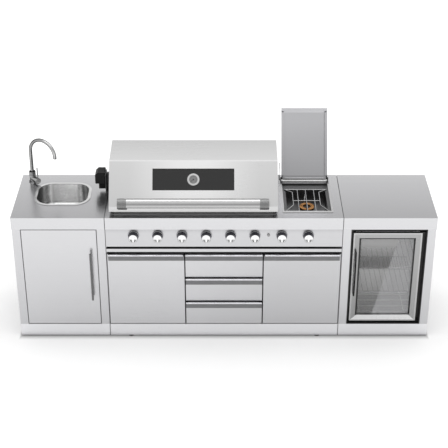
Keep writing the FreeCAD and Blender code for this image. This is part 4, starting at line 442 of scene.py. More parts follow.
def panel_tone(tree):
    """Painted shade darkens the control panel under the worktop's lip."""
    _, _, height = place_axes(tree)
    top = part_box("control_panel")[1].z
    return remap(tree, height, top - 34 * MM, top, 1.0, 0.84)


def well_tone(tree):
    """Painted shade darkens the burner well inside, most on its left wall, and the flange behind the well; a
    painted highlight brightens the upstand, and the front flange keeps its shine.
    """
    _, depth, height = place_axes(tree)
    rightward, _, _ = facing_axes(tree)
    inside = choose(tree, above(tree, rightward, 0.5), 0.19, 0.12)
    upstand = both(tree, above(tree, height, WORKTOP_TOP + 4 * MM), faces_front(tree))
    flange = choose(tree, above(tree, depth, BACK_FLANGE), 0.95, 0.5)
    rim = choose(tree, upstand, flange, 1.6)
    return choose(tree, above(tree, height, WORKTOP_TOP - 0.5 * MM), inside, rim)


def lid_tone(tree):
    """Painted shade darkens the lid downwards, a little at its top lip and most at its foot; its hinge ends
    are dark.
    """
    across, _, height = place_axes(tree)
    low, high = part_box("side_burner_lid")
    lip = above(tree, height, high.z - 26 * MM)
    sheet = remap(tree, height, low.z, high.z - 80 * MM, 0.72, 0.96)
    ends = either(tree, below(tree, across, low.x + 8 * MM), above(tree, across, high.x - 8 * MM))
    foot = below(tree, height, low.z + 24 * MM)
    shade = choose(tree, foot, choose(tree, lip, sheet, 0.88), 0.55)
    return choose(tree, both(tree, ends, foot), shade, 0.12)


def firebox_tone(tree):
    """Painted shade darkens the firebox wall downwards below the worktop to near black; its top is bare
    steel.
    """
    _, _, height = place_axes(tree)
    return remap(tree, height, WORKTOP_TOP - 30 * MM, WORKTOP_TOP + 5 * MM, 0.06, 1.0)


def bowl_tone(tree):
    """A painted highlight brightens the sink's rim; painted shade darkens its wall downwards and dulls its
    front wall, and painted reflection bands lie across its rounded ends.
    """
    _, depth, height = place_axes(tree)
    sideways, backward, _ = facing_axes(tree)
    near = both(tree, below(tree, depth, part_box("sink_bowl")[0].y + 60 * MM), above(tree, backward, 0.15))
    front_wall = both(tree, near, above(tree, height, WORKTOP_TOP - 14 * MM))
    wall = remap(tree, height, WORKTOP_TOP - 130 * MM, WORKTOP_TOP - 20 * MM, 0.95, 1.28)
    # Painted reflection: light and dark bands that follow how far the wall faces sideways
    painted_reflection_bands = grey_ramp(tree, apart(tree, sideways), ((0.0, 1.0), (0.10, 0.72), (0.30, 1.0), (0.50, 0.45),
                                                    (0.70, 1.0), (0.87, 0.4), (1.0, 0.3)))
    inside = times(tree, painted_reflection_bands, choose(tree, front_wall, wall, 0.3))
    return choose(tree, above(tree, height, WORKTOP_TOP - 0.5 * MM), inside, 0.95)


def frame_tone(tree):
    """The mitred members of the fridge door, each with its own painted shade, the bottom rail brightest with
    a painted highlight, and bright painted outer edges.
    """
    across, _, height = place_axes(tree)
    low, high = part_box("fridge_door")
    left = minus(tree, across, low.x)
    right = minus(tree, high.x, across)
    foot = minus(tree, height, low.z)
    head = minus(tree, high.z, height)
    sides = smallest(tree, left, right)
    ends = smallest(tree, foot, head)
    stiles = choose(tree, below(tree, left, right), 0.58, 0.54)
    rails = choose(tree, below(tree, foot, head), 0.60, 1.28)
    edge = both(tree, below(tree, smallest(tree, sides, ends), 9 * MM), faces_front(tree))
    return choose(tree, edge, choose(tree, below(tree, sides, ends), rails, stiles), 0.8)


# Materials


def brushed_steel(name, level, roughness, direction=ALONG_X, tone=None, tint=1.0):
    """Brushed sheet; tone is one of the functions above, and a tint over 1 makes it bluer."""
    material, tree, shader = new_material(name)
    shader.inputs["Metallic"].default_value = 1.0
    brushing = use_group(tree, BRUSHING, Scale=direction)
    streaks = remap(tree, brushing["Streaks"], 0.35, 0.65, 0, 1)
    light = (level, level, level * tint)
    colour = blend_colours(tree, streaks, tuple(part * 0.975 for part in light), light)
    if tone:
        colour = scale_colour(tree, colour, tone(tree))
    link(tree, colour, shader.inputs["Base Color"])
    streaked = times(tree, brushing["Streaks"], 0.06)
    wiped = times(tree, use_group(tree, WIPE_MARKS, Size=2.5)["Mask"], 0.025)
    rough = plus(tree, plus(tree, streaked, wiped), roughness - 0.03)
    link(tree, rough, shader.inputs["Roughness"])
    bump(tree, shader, brushing["Height"], 0.008, 0.0003)
    return material


def polished_metal(name, colour, roughness, wiped=(0.9, 0.9, 0.9), tone=None):
    """Bright metal, with a share of its colour left on wiped patches."""
    material, tree, shader = new_material(name)
    shader.inputs["Metallic"].default_value = 1.0
    mask = wiped_roughness(tree, shader, 14.0, roughness, roughness + 0.06)
    shade = blend_colours(tree, mask, colour, tuple(part * share for part, share in zip(colour, wiped)))
    if tone:
        shade = scale_colour(tree, shade, tone(tree))
    link(tree, shade, shader.inputs["Base Color"])
    fine_grain(tree, shader, 1500.0, 0.04, 0.0002)
    return material


def grained(name, colour, worn, roughness, scale=900.0, depth=0.25, metallic=0.0, shine=0.5):
    """Castings, enamel, rubber and moulded plastic: a fine grain with lighter worn edges."""
    material, tree, shader = new_material(name)
    shader.inputs["Metallic"].default_value = metallic
    shader.inputs["Specular IOR Level"].default_value = shine
    speckle = fine_grain(tree, shader, scale, depth, 0.0005)
    speckled = blend_colours(tree, speckle, colour, tuple(part * 0.8 for part in colour))
    edges = use_group(tree, WORN_EDGES, Amount=0.5)["Mask"]
    link(tree, blend_colours(tree, edges, speckled, worn), shader.inputs["Base Color"])
    wiped_roughness(tree, shader, 9.0, roughness, roughness + 0.12)
    return material


def smoked_glass():
    """Nearly black glass that lets a little light through."""
    material, tree, shader = new_material("smoked_glass")
    shader.inputs["Base Color"].default_value = (*grey(0.008), 1)
    shader.inputs["Transmission Weight"].default_value = 0.4
    shader.inputs["IOR"].default_value = 1.45
    wiped_roughness(tree, shader, 6.0, 0.05, 0.08)
    return material


def round_bar(name, middle, rim, roughness):
    """Bright round bar or tube: the part that faces the eye and the part that turns away get different
    colours, as painted reflection and painted edge shade.
    """
    material, tree, shader = new_material(name)
    shader.inputs["Metallic"].default_value = 1.0
    shader.inputs["Specular Tint"].default_value = (*rim, 1)
    link(tree, blend_colours(tree, turned_away(tree, 0.06, 0.5), middle, rim), shader.inputs["Base Color"])
    wiped_roughness(tree, shader, 14.0, roughness, roughness + 0.05)
    fine_grain(tree, shader, 1500.0, 0.03, 0.0002)
    return material


def knob_finish(name):
    """A bright satin face with a grip between two pockets whose lower parts are darkened by painted shade,
    on a black side.
    """
    material, tree, shader = new_material(name + "_metal")
    low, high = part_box(name)
    middle = (low + high) / 2
    across, depth, height = place_axes(tree)
    inward = minus(tree, depth, low.y)
    rise = minus(tree, height, middle.z)
    outward = reach(tree, minus(tree, across, middle.x), rise)
    side = either(tree, above(tree, outward, FACE_RADIUS), above(tree, inward, FACE_DEPTH))
    pocket = above(tree, inward, POCKET_START)
    # Painted shade: each pocket darkens towards its lower part
    face = choose(tree, pocket, 0.92, remap(tree, rise, -20 * MM, -5 * MM, 0.22, 0.88))
    link(tree, blend_colours(tree, side, face, (0.012, 0.012, 0.02)), shader.inputs["Base Color"])
    link(tree, minus(tree, 1.0, side), shader.inputs["Metallic"])
    speckle = fine_grain(tree, shader, 1200.0, 0.05, 0.0003)
    link(tree, remap(tree, speckle, 0, 1, 0.26, 0.32), shader.inputs["Roughness"])
    return material


def fridge_glass():
    """Door glass with a black printed border, a painted sheen (a painted reflection) right of a slanting
    edge, a dark band of painted shade over the shelf and a painted gradient below it.
    """
    material, tree, shader = new_material("door_glass")
    shader.inputs["Roughness"].default_value = 0.03
    across, _, height = place_axes(tree)
    slope = (SHEEN_HEAD[0] - SHEEN_FOOT[0]) / (SHEEN_HEAD[1] - SHEEN_FOOT[1])
    slant = plus(tree, times(tree, minus(tree, height, SHEEN_FOOT[1]), slope), SHEEN_FOOT[0])
    sheen = remap(tree, minus(tree, across, slant), 0, 6 * MM, 0, 1)
    low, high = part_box("fridge_door_glass")
    foot = low.z + GLASS_RIM
    head = high.z - GLASS_RIM
    inside = smallest(tree, minus(tree, across, low.x + GLASS_RIM + BORDER_LEFT),
                      minus(tree, high.x - GLASS_RIM - BORDER_RIGHT, across),
                      minus(tree, head - BORDER_HEAD, height), minus(tree, height, foot + BORDER_FOOT))
    printed = below(tree, inside, 0.0)
    # Painted shade: dark over the shelf and lighter upwards; below the shelf, a painted gradient
    over_shelf = remap(tree, height, SHELF_LINE - 2 * MM, SHELF_LINE + 2 * MM, 0, 1)
    upper = remap(tree, height, SHELF_LINE + 0.06, head - 0.05, 0.24, 0.68)
    lower = remap(tree, height, foot, SHELF_LINE, 0.30, 0.95)
    shade = choose(tree, sheen, choose(tree, over_shelf, lower, upper), 0.76)
    # The glass colour carries the painted shade and the painted sheen
    painted_glass_light = scale_colour(tree, blend_colours(tree, sheen, grey(1), (1, 1, 1.02)), shade)
    link(tree, blend_colours(tree, printed, painted_glass_light, grey(0.01)), shader.inputs["Base Color"])
    cover = choose(tree, sheen, choose(tree, over_shelf, 0.18, 0.38), 0.26)
    link(tree, choose(tree, printed, cover, 0.95), shader.inputs["Alpha"])
    return material


def fridge_case():
    """Near-black outside and collar, white liner inside, with painted shade along the liner's floor edge."""
    material, tree, shader = new_material("fridge_case")
    shader.inputs["Roughness"].default_value = 0.45
    across, depth, height = place_axes(tree)
    low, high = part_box("fridge_body")
    wall = 30 * MM
    inside = both(tree, between(tree, across, low.x + wall, high.x - wall),
                  between(tree, depth, low.y + wall + 8.5 * MM, high.y - wall - 1.5 * MM))
    speckle = fine_grain(tree, shader, 700.0, 0.15, 0.0004)
    # Painted shade: the liner darkens just above the floor
    floor_shade = remap(tree, height, FRIDGE_FLOOR + 1 * MM, FRIDGE_FLOOR + 12 * MM, 0.55, 1.0)
    liner = scale_colour(tree, blend_colours(tree, speckle, grey(0.80), grey(0.74)), floor_shade)
    link(tree, blend_colours(tree, inside, grey(0.014), liner), shader.inputs["Base Color"])
    return material


def cast_handle():
    """A bright brushed bar with painted shade on its turned-away edges, between rough cast posts; split by
    how far along a point lies.
    """
    material, tree, shader = new_material("cast_handle")
    shader.inputs["Metallic"].default_value = 1.0
    low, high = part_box("hood_handle")
    across, _, _ = place_axes(tree)
    post = above(tree, apart(tree, across, (low.x + high.x) / 2), (high.x - low.x) / 2 - POST_LENGTH)
    grit = use_group(tree, GRIT, Scale=420.0)
    cast = blend_colours(tree, grit["Speckle"], grey(0.30), grey(0.16))
    # Painted shade darkens the bar's turned-away top and bottom edges
    bar = blend_colours(tree, turned_away(tree, 0.22, 0.5), grey(0.48), grey(0.13))
    link(tree, blend_colours(tree, post, bar, cast), shader.inputs["Base Color"])
    link(tree, remap(tree, post, 0, 1, 0.2, 0.46), shader.inputs["Roughness"])
    streaks = times(tree, use_group(tree, BRUSHING, Scale=ALONG_X)["Height"], 0.1)
    bump(tree, shader, plus(tree, times(tree, grit["Height"], post), streaks), 0.3, 0.0006)
    return material


def make_materials():
    made = {
        "front": brushed_steel("front_steel", 0.65, 0.28, tone=front_tone, tint=1.02),
        "panel": brushed_steel("panel_steel", 0.60, 0.28, tone=panel_tone, tint=1.02),
        "cabinet": brushed_steel("cabinet_steel", 0.65, 0.28, ALONG_Z, tone=cabinet_tone, tint=1.02),
        "worktop": brushed_steel("worktop_steel", 0.57, 0.24, tone=worktop_tone, tint=1.02),
        "hood": brushed_steel("hood_steel", 0.67, 0.27, tone=hood_tone),
        "lid": brushed_steel("lid_steel", 0.62, 0.30, tone=lid_tone, tint=1.03),
        "well": brushed_steel("well_steel", 0.56, 0.30, tone=well_tone),
        "fridge_frame": brushed_steel("fridge_frame_steel", 0.66, 0.26, ALONG_Z, tone=frame_tone),
        "back": brushed_steel("back_steel", 0.40, 0.32, ALONG_Z),
        "firebox": brushed_steel("firebox_steel", 0.42, 0.36, tone=firebox_tone),
        "chrome": round_bar("chrome", grey(0.56), grey(0.08), 0.16),
        "tap_chrome": round_bar("tap_chrome", grey(0.84), grey(0.22), 0.2),
        "door_bar": round_bar("door_bar_steel", grey(0.06), grey(0.36), 0.16),
        "bowl": polished_metal("bowl_steel", grey(0.78), 0.20, tone=bowl_tone),
        "button": polished_metal("button_steel", grey(0.3), 0.3),
        "bead": polished_metal("bead_steel", (0.84, 0.84, 0.87), 0.22),
        "ring": polished_metal("ring_steel", grey(0.86), 0.16),
        "dial_ring": polished_metal("dial_ring_steel", grey(0.55), 0.22),
        "wire": polished_metal("wire_steel", grey(0.42), 0.22),
        # Painted shade: the bezels' near-black blue stands in for the shade on their slopes
        "bezel": polished_metal("bezel_metal", (0.035, 0.035, 0.06), 0.2),
        "brass": polished_metal("burner_brass", (0.42, 0.20, 0.05), 0.24, wiped=(0.35, 0.25, 0.2)),
        # Near-white: a painted highlight for the upstand's rolled edge
        "satin": grained("satin_steel_painted_highlight", grey(0.94), grey(0.96), 0.3, scale=1600.0, depth=0.03, metallic=0.2),
        "rack": grained("white_wire_coating", grey(0.85), grey(0.95), 0.3, depth=0.05),
        "enamel": grained("dark_enamel", grey(0.02), grey(0.10), 0.35, scale=500.0, depth=0.3),
        "plastic": grained("black_plastic", grey(0.006), grey(0.03), 0.42, shine=0.15),
        "rubber": grained("seal_rubber", grey(0.014), grey(0.03), 0.6),
        "zinc": grained("zinc_plate", grey(0.55), grey(0.75), 0.35, scale=300.0, metallic=1.0),
        # Cast iron, and painted shade in the side burner's gas ports
        "iron": grained("cast_iron", grey(0.006), grey(0.04), 0.5, scale=350.0, depth=0.5),
        "waste": grained("waste_plastic", grey(0.75), grey(0.8), 0.4),
        "ceramic": grained("ceramic", grey(0.85), grey(0.9), 0.25, depth=0.05),
        "liner_panel": grained("liner_panel", grey(0.6), grey(0.65), 0.4, depth=0.08),
        "dial": grained("dial_print", grey(0.22), grey(0.25), 0.5, depth=0.03),
        # Black ink for print, and painted shade in holes, slits, slots and vents
        "ink_and_hole_shade": grained("ink_and_hole_shade", grey(0.02), grey(0.02), 0.5, depth=0.03),
        "smoked": smoked_glass(),
        "pane": fridge_glass(),
        "case": fridge_case(),
        "handle": cast_handle(),
    }
    for knob in KNOBS:
        made[knob] = knob_finish(knob)
    return made


MATERIALS = make_materials()

DRESSING = {
    "front": ("sink_door", "left_door", "right_door", "top_drawer", "middle_drawer", "bottom_drawer"),
    "panel": ("control_panel",),
    "back": ("back_panels",),
    "cabinet": ("sink_cabinet", "grill_cabinet", "fridge_cabinet"),
    "worktop": ("sink_worktop", "grill_worktop", "fridge_worktop"),
    "hood": ("hood_shell",),
    "lid": ("side_burner_lid",),
    "well": ("side_burner_bowl",),
    "fridge_frame": ("fridge_door",),
    "bowl": ("sink_bowl",),
    "chrome": ("tap_spout", "spit_rod"),
    "tap_chrome": ("tap_body", "tap_lever"),
    "door_bar": ("sink_door_handle",),
    "button": ("igniter_button",),
    "dial_ring": ("thermometer",),
    "firebox": ("firebox",),
    "wire": ("warming_rack", "pan_support", "fridge_shelves", "cooking_grates"),
    "enamel": ("main_burners", "flame_tamers", "rear_burner", "grease_tray", "motor_bracket", "hinge_pins"),
    "plastic": ("rotisserie_motor", "fridge_handle", "levelling_feet"),
    "rubber": ("fridge_door_seal",),
    "zinc": ("gas_manifold", "drawer_runners", "module_bolts"),
    "brass": ("side_burner_ring",),
    "iron": ("side_burner_base",),
    "waste": ("sink_drain",),
    "smoked": ("hood_window",),
    "pane": ("fridge_door_glass",),
    "bezel": ("knob_bezels",),
    "case": ("fridge_body",),
    "handle": ("hood_handle",),
}
for knob in KNOBS:
    DRESSING[knob] = (knob,)

FOLDED_EDGES = ("worktop", "hood")
CRISP_EDGES = ("front", "panel", "back", "cabinet", "lid", "fridge_frame", "well", "bowl", "bezel") + KNOBS


def round_edges(piece, width, angle, harden=True):
    edge = piece.modifiers.new("edge", "BEVEL")
    edge.width = width
    edge.segments = 2
    edge.limit_method = "ANGLE"
    edge.angle_limit = math.radians(angle)
    edge.harden_normals = harden


def dress_cad():
    for finish, names in DRESSING.items():
        for name in names:
            slots = nodes[name].data.materials
            slots.clear()
            slots.append(MATERIALS[finish])
    for width, finishes in ((1.2 * MM, FOLDED_EDGES), (0.6 * MM, CRISP_EDGES)):
        for finish in finishes:
            for name in DRESSING[finish]:
                round_edges(nodes[name], width, 40)


dress_cad()


# Shapes of the detail pieces


def add_piece(name, shape, finish, body, smooth=True):
    """Turn a finished bmesh into a piece that rides one body."""
    bmesh.ops.recalc_face_normals(shape, faces=shape.faces)
    mesh = bpy.data.meshes.new(name)
    shape.to_mesh(mesh)
    shape.free()
    for face in mesh.polygons:
        face.use_smooth = smooth
    mesh.materials.append(MATERIALS[finish])
    piece = bpy.data.objects.new(name, mesh)
    bpy.context.scene.collection.objects.link(piece)
    round_edges(piece, 0.3 * MM, 35, harden=smooth)
    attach(piece, body)


def turned(shape, place, profile, steps=24):
    """Spin a profile of (radius, height) points round the Z axis of the place."""
    rings = []
    for radius, height in profile:
        turns = (2 * math.pi * i / steps for i in range(steps))
        rings.append([shape.verts.new(place @ Vector((radius * math.cos(t), radius * math.sin(t), height)))
                      for t in turns])
    for low, high in zip(rings, rings[1:]):
        for i in range(steps):
            j = (i + 1) % steps
            shape.faces.new((low[i], low[j], high[j], high[i]))
    shape.faces.new(rings[0])
    shape.faces.new(rings[-1])


def extruded(shape, place, outline, start, end):
    """Push an outline of (Y, Z) points along the X axis of the place."""
    ends = [[shape.verts.new(place @ Vector((x, y, z))) for y, z in outline] for x in (start, end)]
    count = len(outline)
    for i in range(count):
        j = (i + 1) % count
        shape.faces.new((ends[0][i], ends[0][j], ends[1][j], ends[1][i]))
    shape.faces.new(ends[0])
    shape.faces.new(ends[1])


def circle(y, z, radius, steps):
    """A round outline about a middle, for extruded."""
    turns = (2 * math.pi * step / steps for step in range(steps))
    return [(y + radius * math.cos(turn), z + radius * math.sin(turn)) for turn in turns]


def rectangle(front, back, low, high):
    return ((front, low), (back, low), (back, high), (front, high))


def at(x, y, z):
    return Matrix.Translation((x, y, z))


def spin(degrees, axis):
    return Matrix.Rotation(math.radians(degrees), 4, axis)


def face_place(node, outward):
    """A place on the front of a node: X across it, Y up its face, Z outward, at the middle of the face."""
    outward = outward.normalized()
    across = Vector((1, 0, 0))
    upward = outward.cross(across)
    points = [vertex.co for vertex in nodes[node].data.vertices]
    spot = outward * max(point.dot(outward) for point in points)
    for axis in (across, upward):
        spans = [point.dot(axis) for point in points]
        spot += axis * (min(spans) + max(spans)) / 2
    return Matrix.Translation(spot) @ Matrix((across, upward, outward)).transposed().to_4x4()


def widest_normal(node):
    """The way the widest flat part of a node faces, taken towards the front."""
    normal = max(nodes[node].data.polygons, key=lambda face: face.area).normal
    return normal if normal.y < 0 else -normal


# Detail pieces

DIAL_RECESS = 3 * MM
DIAL_RADIUS = 26.8 * MM
DIAL_TICKS = 13
FIRST_TICK = 225
TICK_STEP = -22.5
NEEDLE_ANGLE = 215
BEAD = 6 * MM
RIM_RADIUS = 36 * MM
BEZEL_SIDES = 48
BURNER_PORTS = 28
SCREW_PITCH = 0.25
SCREW_MARGIN = 16 * MM
RACK_WIRES = 6
WIRE_PITCH = 72 * MM
RACK_DEPTH = -0.205
RACK_HALF = 200 * MM
LID_HINGE = (0, 0.215, 0.932)
SPARK_SPOT = (0.534, 0.040)
DRAIN_SPOT = (-1.063, 0.025)

# Each bank of louvres: its middle across, its width and how many it has
LOUVRES = ((1.065, 0.30, 9), (-0.50, 0.24, 6), (0.50, 0.24, 6))
LOWEST_LOUVRE = 0.16
LOUVRE_PITCH = 22 * MM

# Inside the fridge: the liner's back, the cover with its vents, and the lamp
LINER_BACK = 230 * MM
COVER_HALF = 0.17
VENTS = 7
LOWEST_VENT = 0.625
VENT_PITCH = 9 * MM
VENT_HALF = 0.10
LAMP_FRONT = -0.180
LAMP_BACK = -0.154
LAMP_FOOT = 0.780
LAMP_HALF = 0.15


def pull_beads():
    """A bright rolled bead along the top edge of every door and drawer pull."""
    for name, inset in (("left_door", 7 * MM), ("right_door", 7 * MM), ("top_drawer", 1 * MM),
                        ("middle_drawer", 1 * MM), ("bottom_drawer", 1 * MM)):
        low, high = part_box(name)
        bead = bmesh.new()
        outline = circle(low.y + BEAD, high.z - 0.4 * BEAD, BEAD, 20)
        extruded(bead, Matrix.Identity(4), outline, low.x + inset, high.x - inset)
        add_piece(f"{name}_bead", bead, "bead", name)


def bezel_rims():
    """A thin bright rim on each knob's dark bezel."""
    rims = bmesh.new()
    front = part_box("knob_bezels")[0].y
    outline = ((33.2 * MM, -0.4 * MM), (34.2 * MM, 0.5 * MM), (35.4 * MM, 0.2 * MM), (RIM_RADIUS, -1.6 * MM))
    half = RIM_RADIUS * math.pi / BEZEL_SIDES
    for name in KNOBS:
        low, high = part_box(name)
        place = at((low.x + high.x) / 2, front, (low.z + high.z) / 2) @ spin(90, "X")
        for step in range(BEZEL_SIDES):
            extruded(rims, place @ spin(360 * step / BEZEL_SIDES, "Z"), outline, -half, half)
    add_piece("bezel_rims", rims, "ring", "island", smooth=False)


def lid_knuckle():
    """A bright rolled knuckle round the side burner lid's hinge line, between two dark end caps."""
    low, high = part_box("side_burner_lid")
    axis = at(*LID_HINGE) @ spin(90, "Y")
    knuckle = bmesh.new()
    turned(knuckle, axis, ((6.4 * MM, low.x + 9 * MM), (6.8 * MM, low.x + 10 * MM),
                           (6.8 * MM, high.x - 10 * MM), (6.4 * MM, high.x - 9 * MM)))
    add_piece("lid_knuckle", knuckle, "lid", "side_burner_lid")
    caps = bmesh.new()
    for start in (low.x + 1 * MM, high.x - 8 * MM):
        turned(caps, axis, ((6 * MM, start), (7.4 * MM, start + 1 * MM), (7.4 * MM, start + 6 * MM),
                            (6 * MM, start + 7 * MM)))
    add_piece("lid_knuckle_caps", caps, "plastic", "side_burner_lid")


def upstand_bead():
    """A rolled edge along the front of the upstand, under the side burner lid's hinge, made bright by a
    painted highlight in its near-white finish.
    """
    low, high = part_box("side_burner_lid")
    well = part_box("side_burner_bowl")[1]
    bead = bmesh.new()
    outline = circle(well.y - 3.2 * MM, well.z - 9.5 * MM, 4 * MM, 16)
    extruded(bead, Matrix.Identity(4), outline, low.x + 8 * MM, high.x - 8 * MM)
    add_piece("upstand_bead", bead, "satin", "island")


def thermometer_dial():
    """A grey dial with ticks, a needle and a hub, in the recess of the thermometer ring."""
    place = face_place("thermometer", widest_normal("hood_window"))
    floor = -DIAL_RECESS
    dial = bmesh.new()
    turned(dial, place, ((DIAL_RADIUS, floor - 0.5 * MM), (DIAL_RADIUS, floor + 0.3 * MM)), 48)
    add_piece("thermometer_dial", dial, "dial", "hood", smooth=False)
    ticks = bmesh.new()
    for step in range(DIAL_TICKS):
        inner = 17 * MM if step % 3 == 0 else 20 * MM
        extruded(ticks, place @ spin(FIRST_TICK + TICK_STEP * step, "Z"),
                 rectangle(-0.7 * MM, 0.7 * MM, floor, floor + 0.6 * MM), inner, 24 * MM)
    add_piece("thermometer_ticks", ticks, "ink_and_hole_shade", "hood", smooth=False)
    needle = bmesh.new()
    outline = ((-1 * MM, floor + 0.9 * MM), (1 * MM, floor + 0.9 * MM), (0.4 * MM, floor + 1.5 * MM),
               (-0.4 * MM, floor + 1.5 * MM))
    extruded(needle, place @ spin(NEEDLE_ANGLE, "Z"), outline, -6 * MM, 20 * MM)
    turned(needle, place, ((4 * MM, floor), (4 * MM, floor + 1.8 * MM), (2.5 * MM, floor + 2.4 * MM)), 20)
    add_piece("thermometer_needle", needle, "ink_and_hole_shade", "hood", smooth=False)


def spark_electrode():
    """A white ceramic stem with a wire tip beside the side burner ring."""
    place = at(*SPARK_SPOT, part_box("side_burner_base")[0].z)
    stem = bmesh.new()
    turned(stem, place, ((5 * MM, 0), (5 * MM, 6 * MM), (3.4 * MM, 7 * MM), (3.4 * MM, 34 * MM),
                         (2.4 * MM, 36 * MM)))
    add_piece("spark_stem", stem, "ceramic", "island")
    tip = bmesh.new()
    turned(tip, place, ((1.3 * MM, 35 * MM), (1.3 * MM, 47 * MM), (0.5 * MM, 49 * MM)), 12)
    add_piece("spark_tip", tip, "ceramic", "island")


def burner_ports():
    """A row of gas ports round the brass ring, drawn as dark pins: painted shade in the holes."""
    low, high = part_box("side_burner_ring")
    place = at((low.x + high.x) / 2, (low.y + high.y) / 2, low.z + 0.45 * (high.z - low.z))
    radius = (high.x - low.x) / 2
    ports = bmesh.new()
    for step in range(BURNER_PORTS):
        outward = place @ spin(360 * step / BURNER_PORTS, "Z") @ spin(90, "Y")
        turned(ports, outward, ((1.5 * MM, radius - 2 * MM), (1.5 * MM, radius + 0.15 * MM)), 8)
    add_piece("burner_ports", ports, "iron", "island")


def drain_strainer():
    """A shallow strainer dome with a lifting knob and rings of holes, drawn as dark discs: painted shade in
    the holes.
    """
    place = at(*DRAIN_SPOT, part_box("sink_drain")[1].z)
    dome = bmesh.new()
    turned(dome, place, ((33 * MM, -1 * MM), (33 * MM, 1 * MM), (24 * MM, 3 * MM), (10 * MM, 4.5 * MM),
                         (5 * MM, 5 * MM), (5 * MM, 10 * MM), (8 * MM, 12 * MM), (6 * MM, 15 * MM)), 40)
    add_piece("drain_strainer", dome, "ring", "island")
    holes = bmesh.new()
    for radius, count, height in ((14 * MM, 10, 4.2 * MM), (20 * MM, 16, 3.5 * MM), (27 * MM, 22, 2.4 * MM)):
        for x, y in circle(0, 0, radius, count):
            turned(holes, place @ at(x, y, height), ((1.7 * MM, -1 * MM), (1.7 * MM, 0.3 * MM)), 10)
    add_piece("strainer_holes", holes, "ink_and_hole_shade", "island")


def back_screws():
    """Pan-head screws round the edge of each back sheet, their slots drawn as dark bars of painted shade."""
    low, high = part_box("back_panels")
    heads = bmesh.new()
    slots = bmesh.new()
    edges = (low.x, -MODULE_SEAM, MODULE_SEAM, high.x)
    for start, end in zip(edges, edges[1:]):
        count = max(2, round((end - start) / SCREW_PITCH))
        for step in range(count + 1):
            x = start + SCREW_MARGIN + step * (end - start - 2 * SCREW_MARGIN) / count
            for z in (low.z + 14 * MM, high.z - 14 * MM):
                place = at(x, high.y, z) @ spin(-90, "X")
                turned(heads, place, ((4 * MM, -0.5 * MM), (4 * MM, 0.8 * MM), (2.8 * MM, 2 * MM)), 16)
                for turn in (0, 90):
                    extruded(slots, place @ spin(turn, "Z"),
                             rectangle(-0.4 * MM, 0.4 * MM, 1 * MM, 2.1 * MM), -2 * MM, 2 * MM)
    add_piece("back_screws", heads, "ring", "island")
    add_piece("back_screw_slots", slots, "ink_and_hole_shade", "island", smooth=False)


def back_louvres():
    """Pressed air louvres behind the gas bay and the fridge, each over a dark slit of painted shade."""
    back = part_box("back_panels")[1].y
    hoods = bmesh.new()
    slits = bmesh.new()
    hood = ((-0.5 * MM, 15 * MM), (-0.5 * MM, 6 * MM), (5 * MM, 6 * MM), (5.5 * MM, 7 * MM),
            (1 * MM, 15 * MM))
    slit = rectangle(-0.5 * MM, 0.3 * MM, 0, 6.2 * MM)
    for middle, width, count in LOUVRES:
        for step in range(count):
            place = at(middle, back, LOWEST_LOUVRE + LOUVRE_PITCH * step)
            extruded(hoods, place, hood, -width / 2, width / 2)
            extruded(slits, place, slit, 3 * MM - width / 2, width / 2 - 3 * MM)
    add_piece("back_louvres", hoods, "back", "island", smooth=False)
    add_piece("louvre_slits", slits, "ink_and_hole_shade", "island", smooth=False)


def fridge_floor_rack():
    """A bright wire rack on the fridge's floor: wires across it, a front lip and two runners."""
    low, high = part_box("fridge_shelves")
    middle = (low.x + high.x) / 2
    rack = bmesh.new()
    for step in range(RACK_WIRES):
        wire = at(middle, RACK_DEPTH + WIRE_PITCH * step, FRIDGE_FLOOR + 9 * MM)
        extruded(rack, wire, circle(0, 0, 3.2 * MM, 12), -RACK_HALF, RACK_HALF)
    lip = ((-11 * MM, 1 * MM), (-8 * MM, 1 * MM), (-8 * MM, 22 * MM), (-11 * MM, 24 * MM))
    extruded(rack, at(middle, RACK_DEPTH, FRIDGE_FLOOR), lip, -RACK_HALF, RACK_HALF)
    for side in (-0.15, 0.15):
        runner = at(middle + side, RACK_DEPTH + 180 * MM, FRIDGE_FLOOR) @ spin(90, "Z")
        extruded(rack, runner, rectangle(-2 * MM, 2 * MM, -0.2 * MM, 7.5 * MM), -RACK_HALF, RACK_HALF)
    add_piece("fridge_floor_rack", rack, "rack", "island")


def fridge_interior():
    """A ribbed evaporator cover, its vents drawn as dark bars of painted shade, and a light bar inside the
    fridge.
    """
    low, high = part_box("fridge_body")
    middle = (low.x + high.x) / 2
    cover = bmesh.new()
    outline = ((1 * MM, 0.790), (-24 * MM, 0.786), (-26 * MM, 0.60), (-18 * MM, 0.59), (1 * MM, 0.588))
    extruded(cover, at(middle, LINER_BACK, 0), outline, -COVER_HALF, COVER_HALF)
    add_piece("evaporator_cover", cover, "liner_panel", "island")
    vents = bmesh.new()
    for step in range(VENTS):
        place = at(middle, LINER_BACK - 26 * MM, LOWEST_VENT + VENT_PITCH * step)
        extruded(vents, place, rectangle(-0.4 * MM, 1 * MM, 0, 3 * MM), -VENT_HALF, VENT_HALF)
    add_piece("evaporator_vents", vents, "ink_and_hole_shade", "island", smooth=False)
    lamp = bmesh.new()
    edge = LAMP_FOOT + 4 * MM
    top = LAMP_FOOT + 12 * MM
    outline = ((LAMP_FRONT, top), (LAMP_FRONT, edge), (LAMP_FRONT + 4 * MM, LAMP_FOOT),
               (LAMP_BACK - 4 * MM, LAMP_FOOT), (LAMP_BACK, edge), (LAMP_BACK, top))
    extruded(lamp, at(middle, 0, 0), outline, -LAMP_HALF, LAMP_HALF)
    add_piece("fridge_lamp", lamp, "ceramic", "island")


pull_beads()
bezel_rims()
lid_knuckle()
upstand_bead()
thermometer_dial()
spark_electrode()
burner_ports()
drain_strainer()
back_screws()
back_louvres()
fridge_floor_rack()
fridge_interior()


# Studio

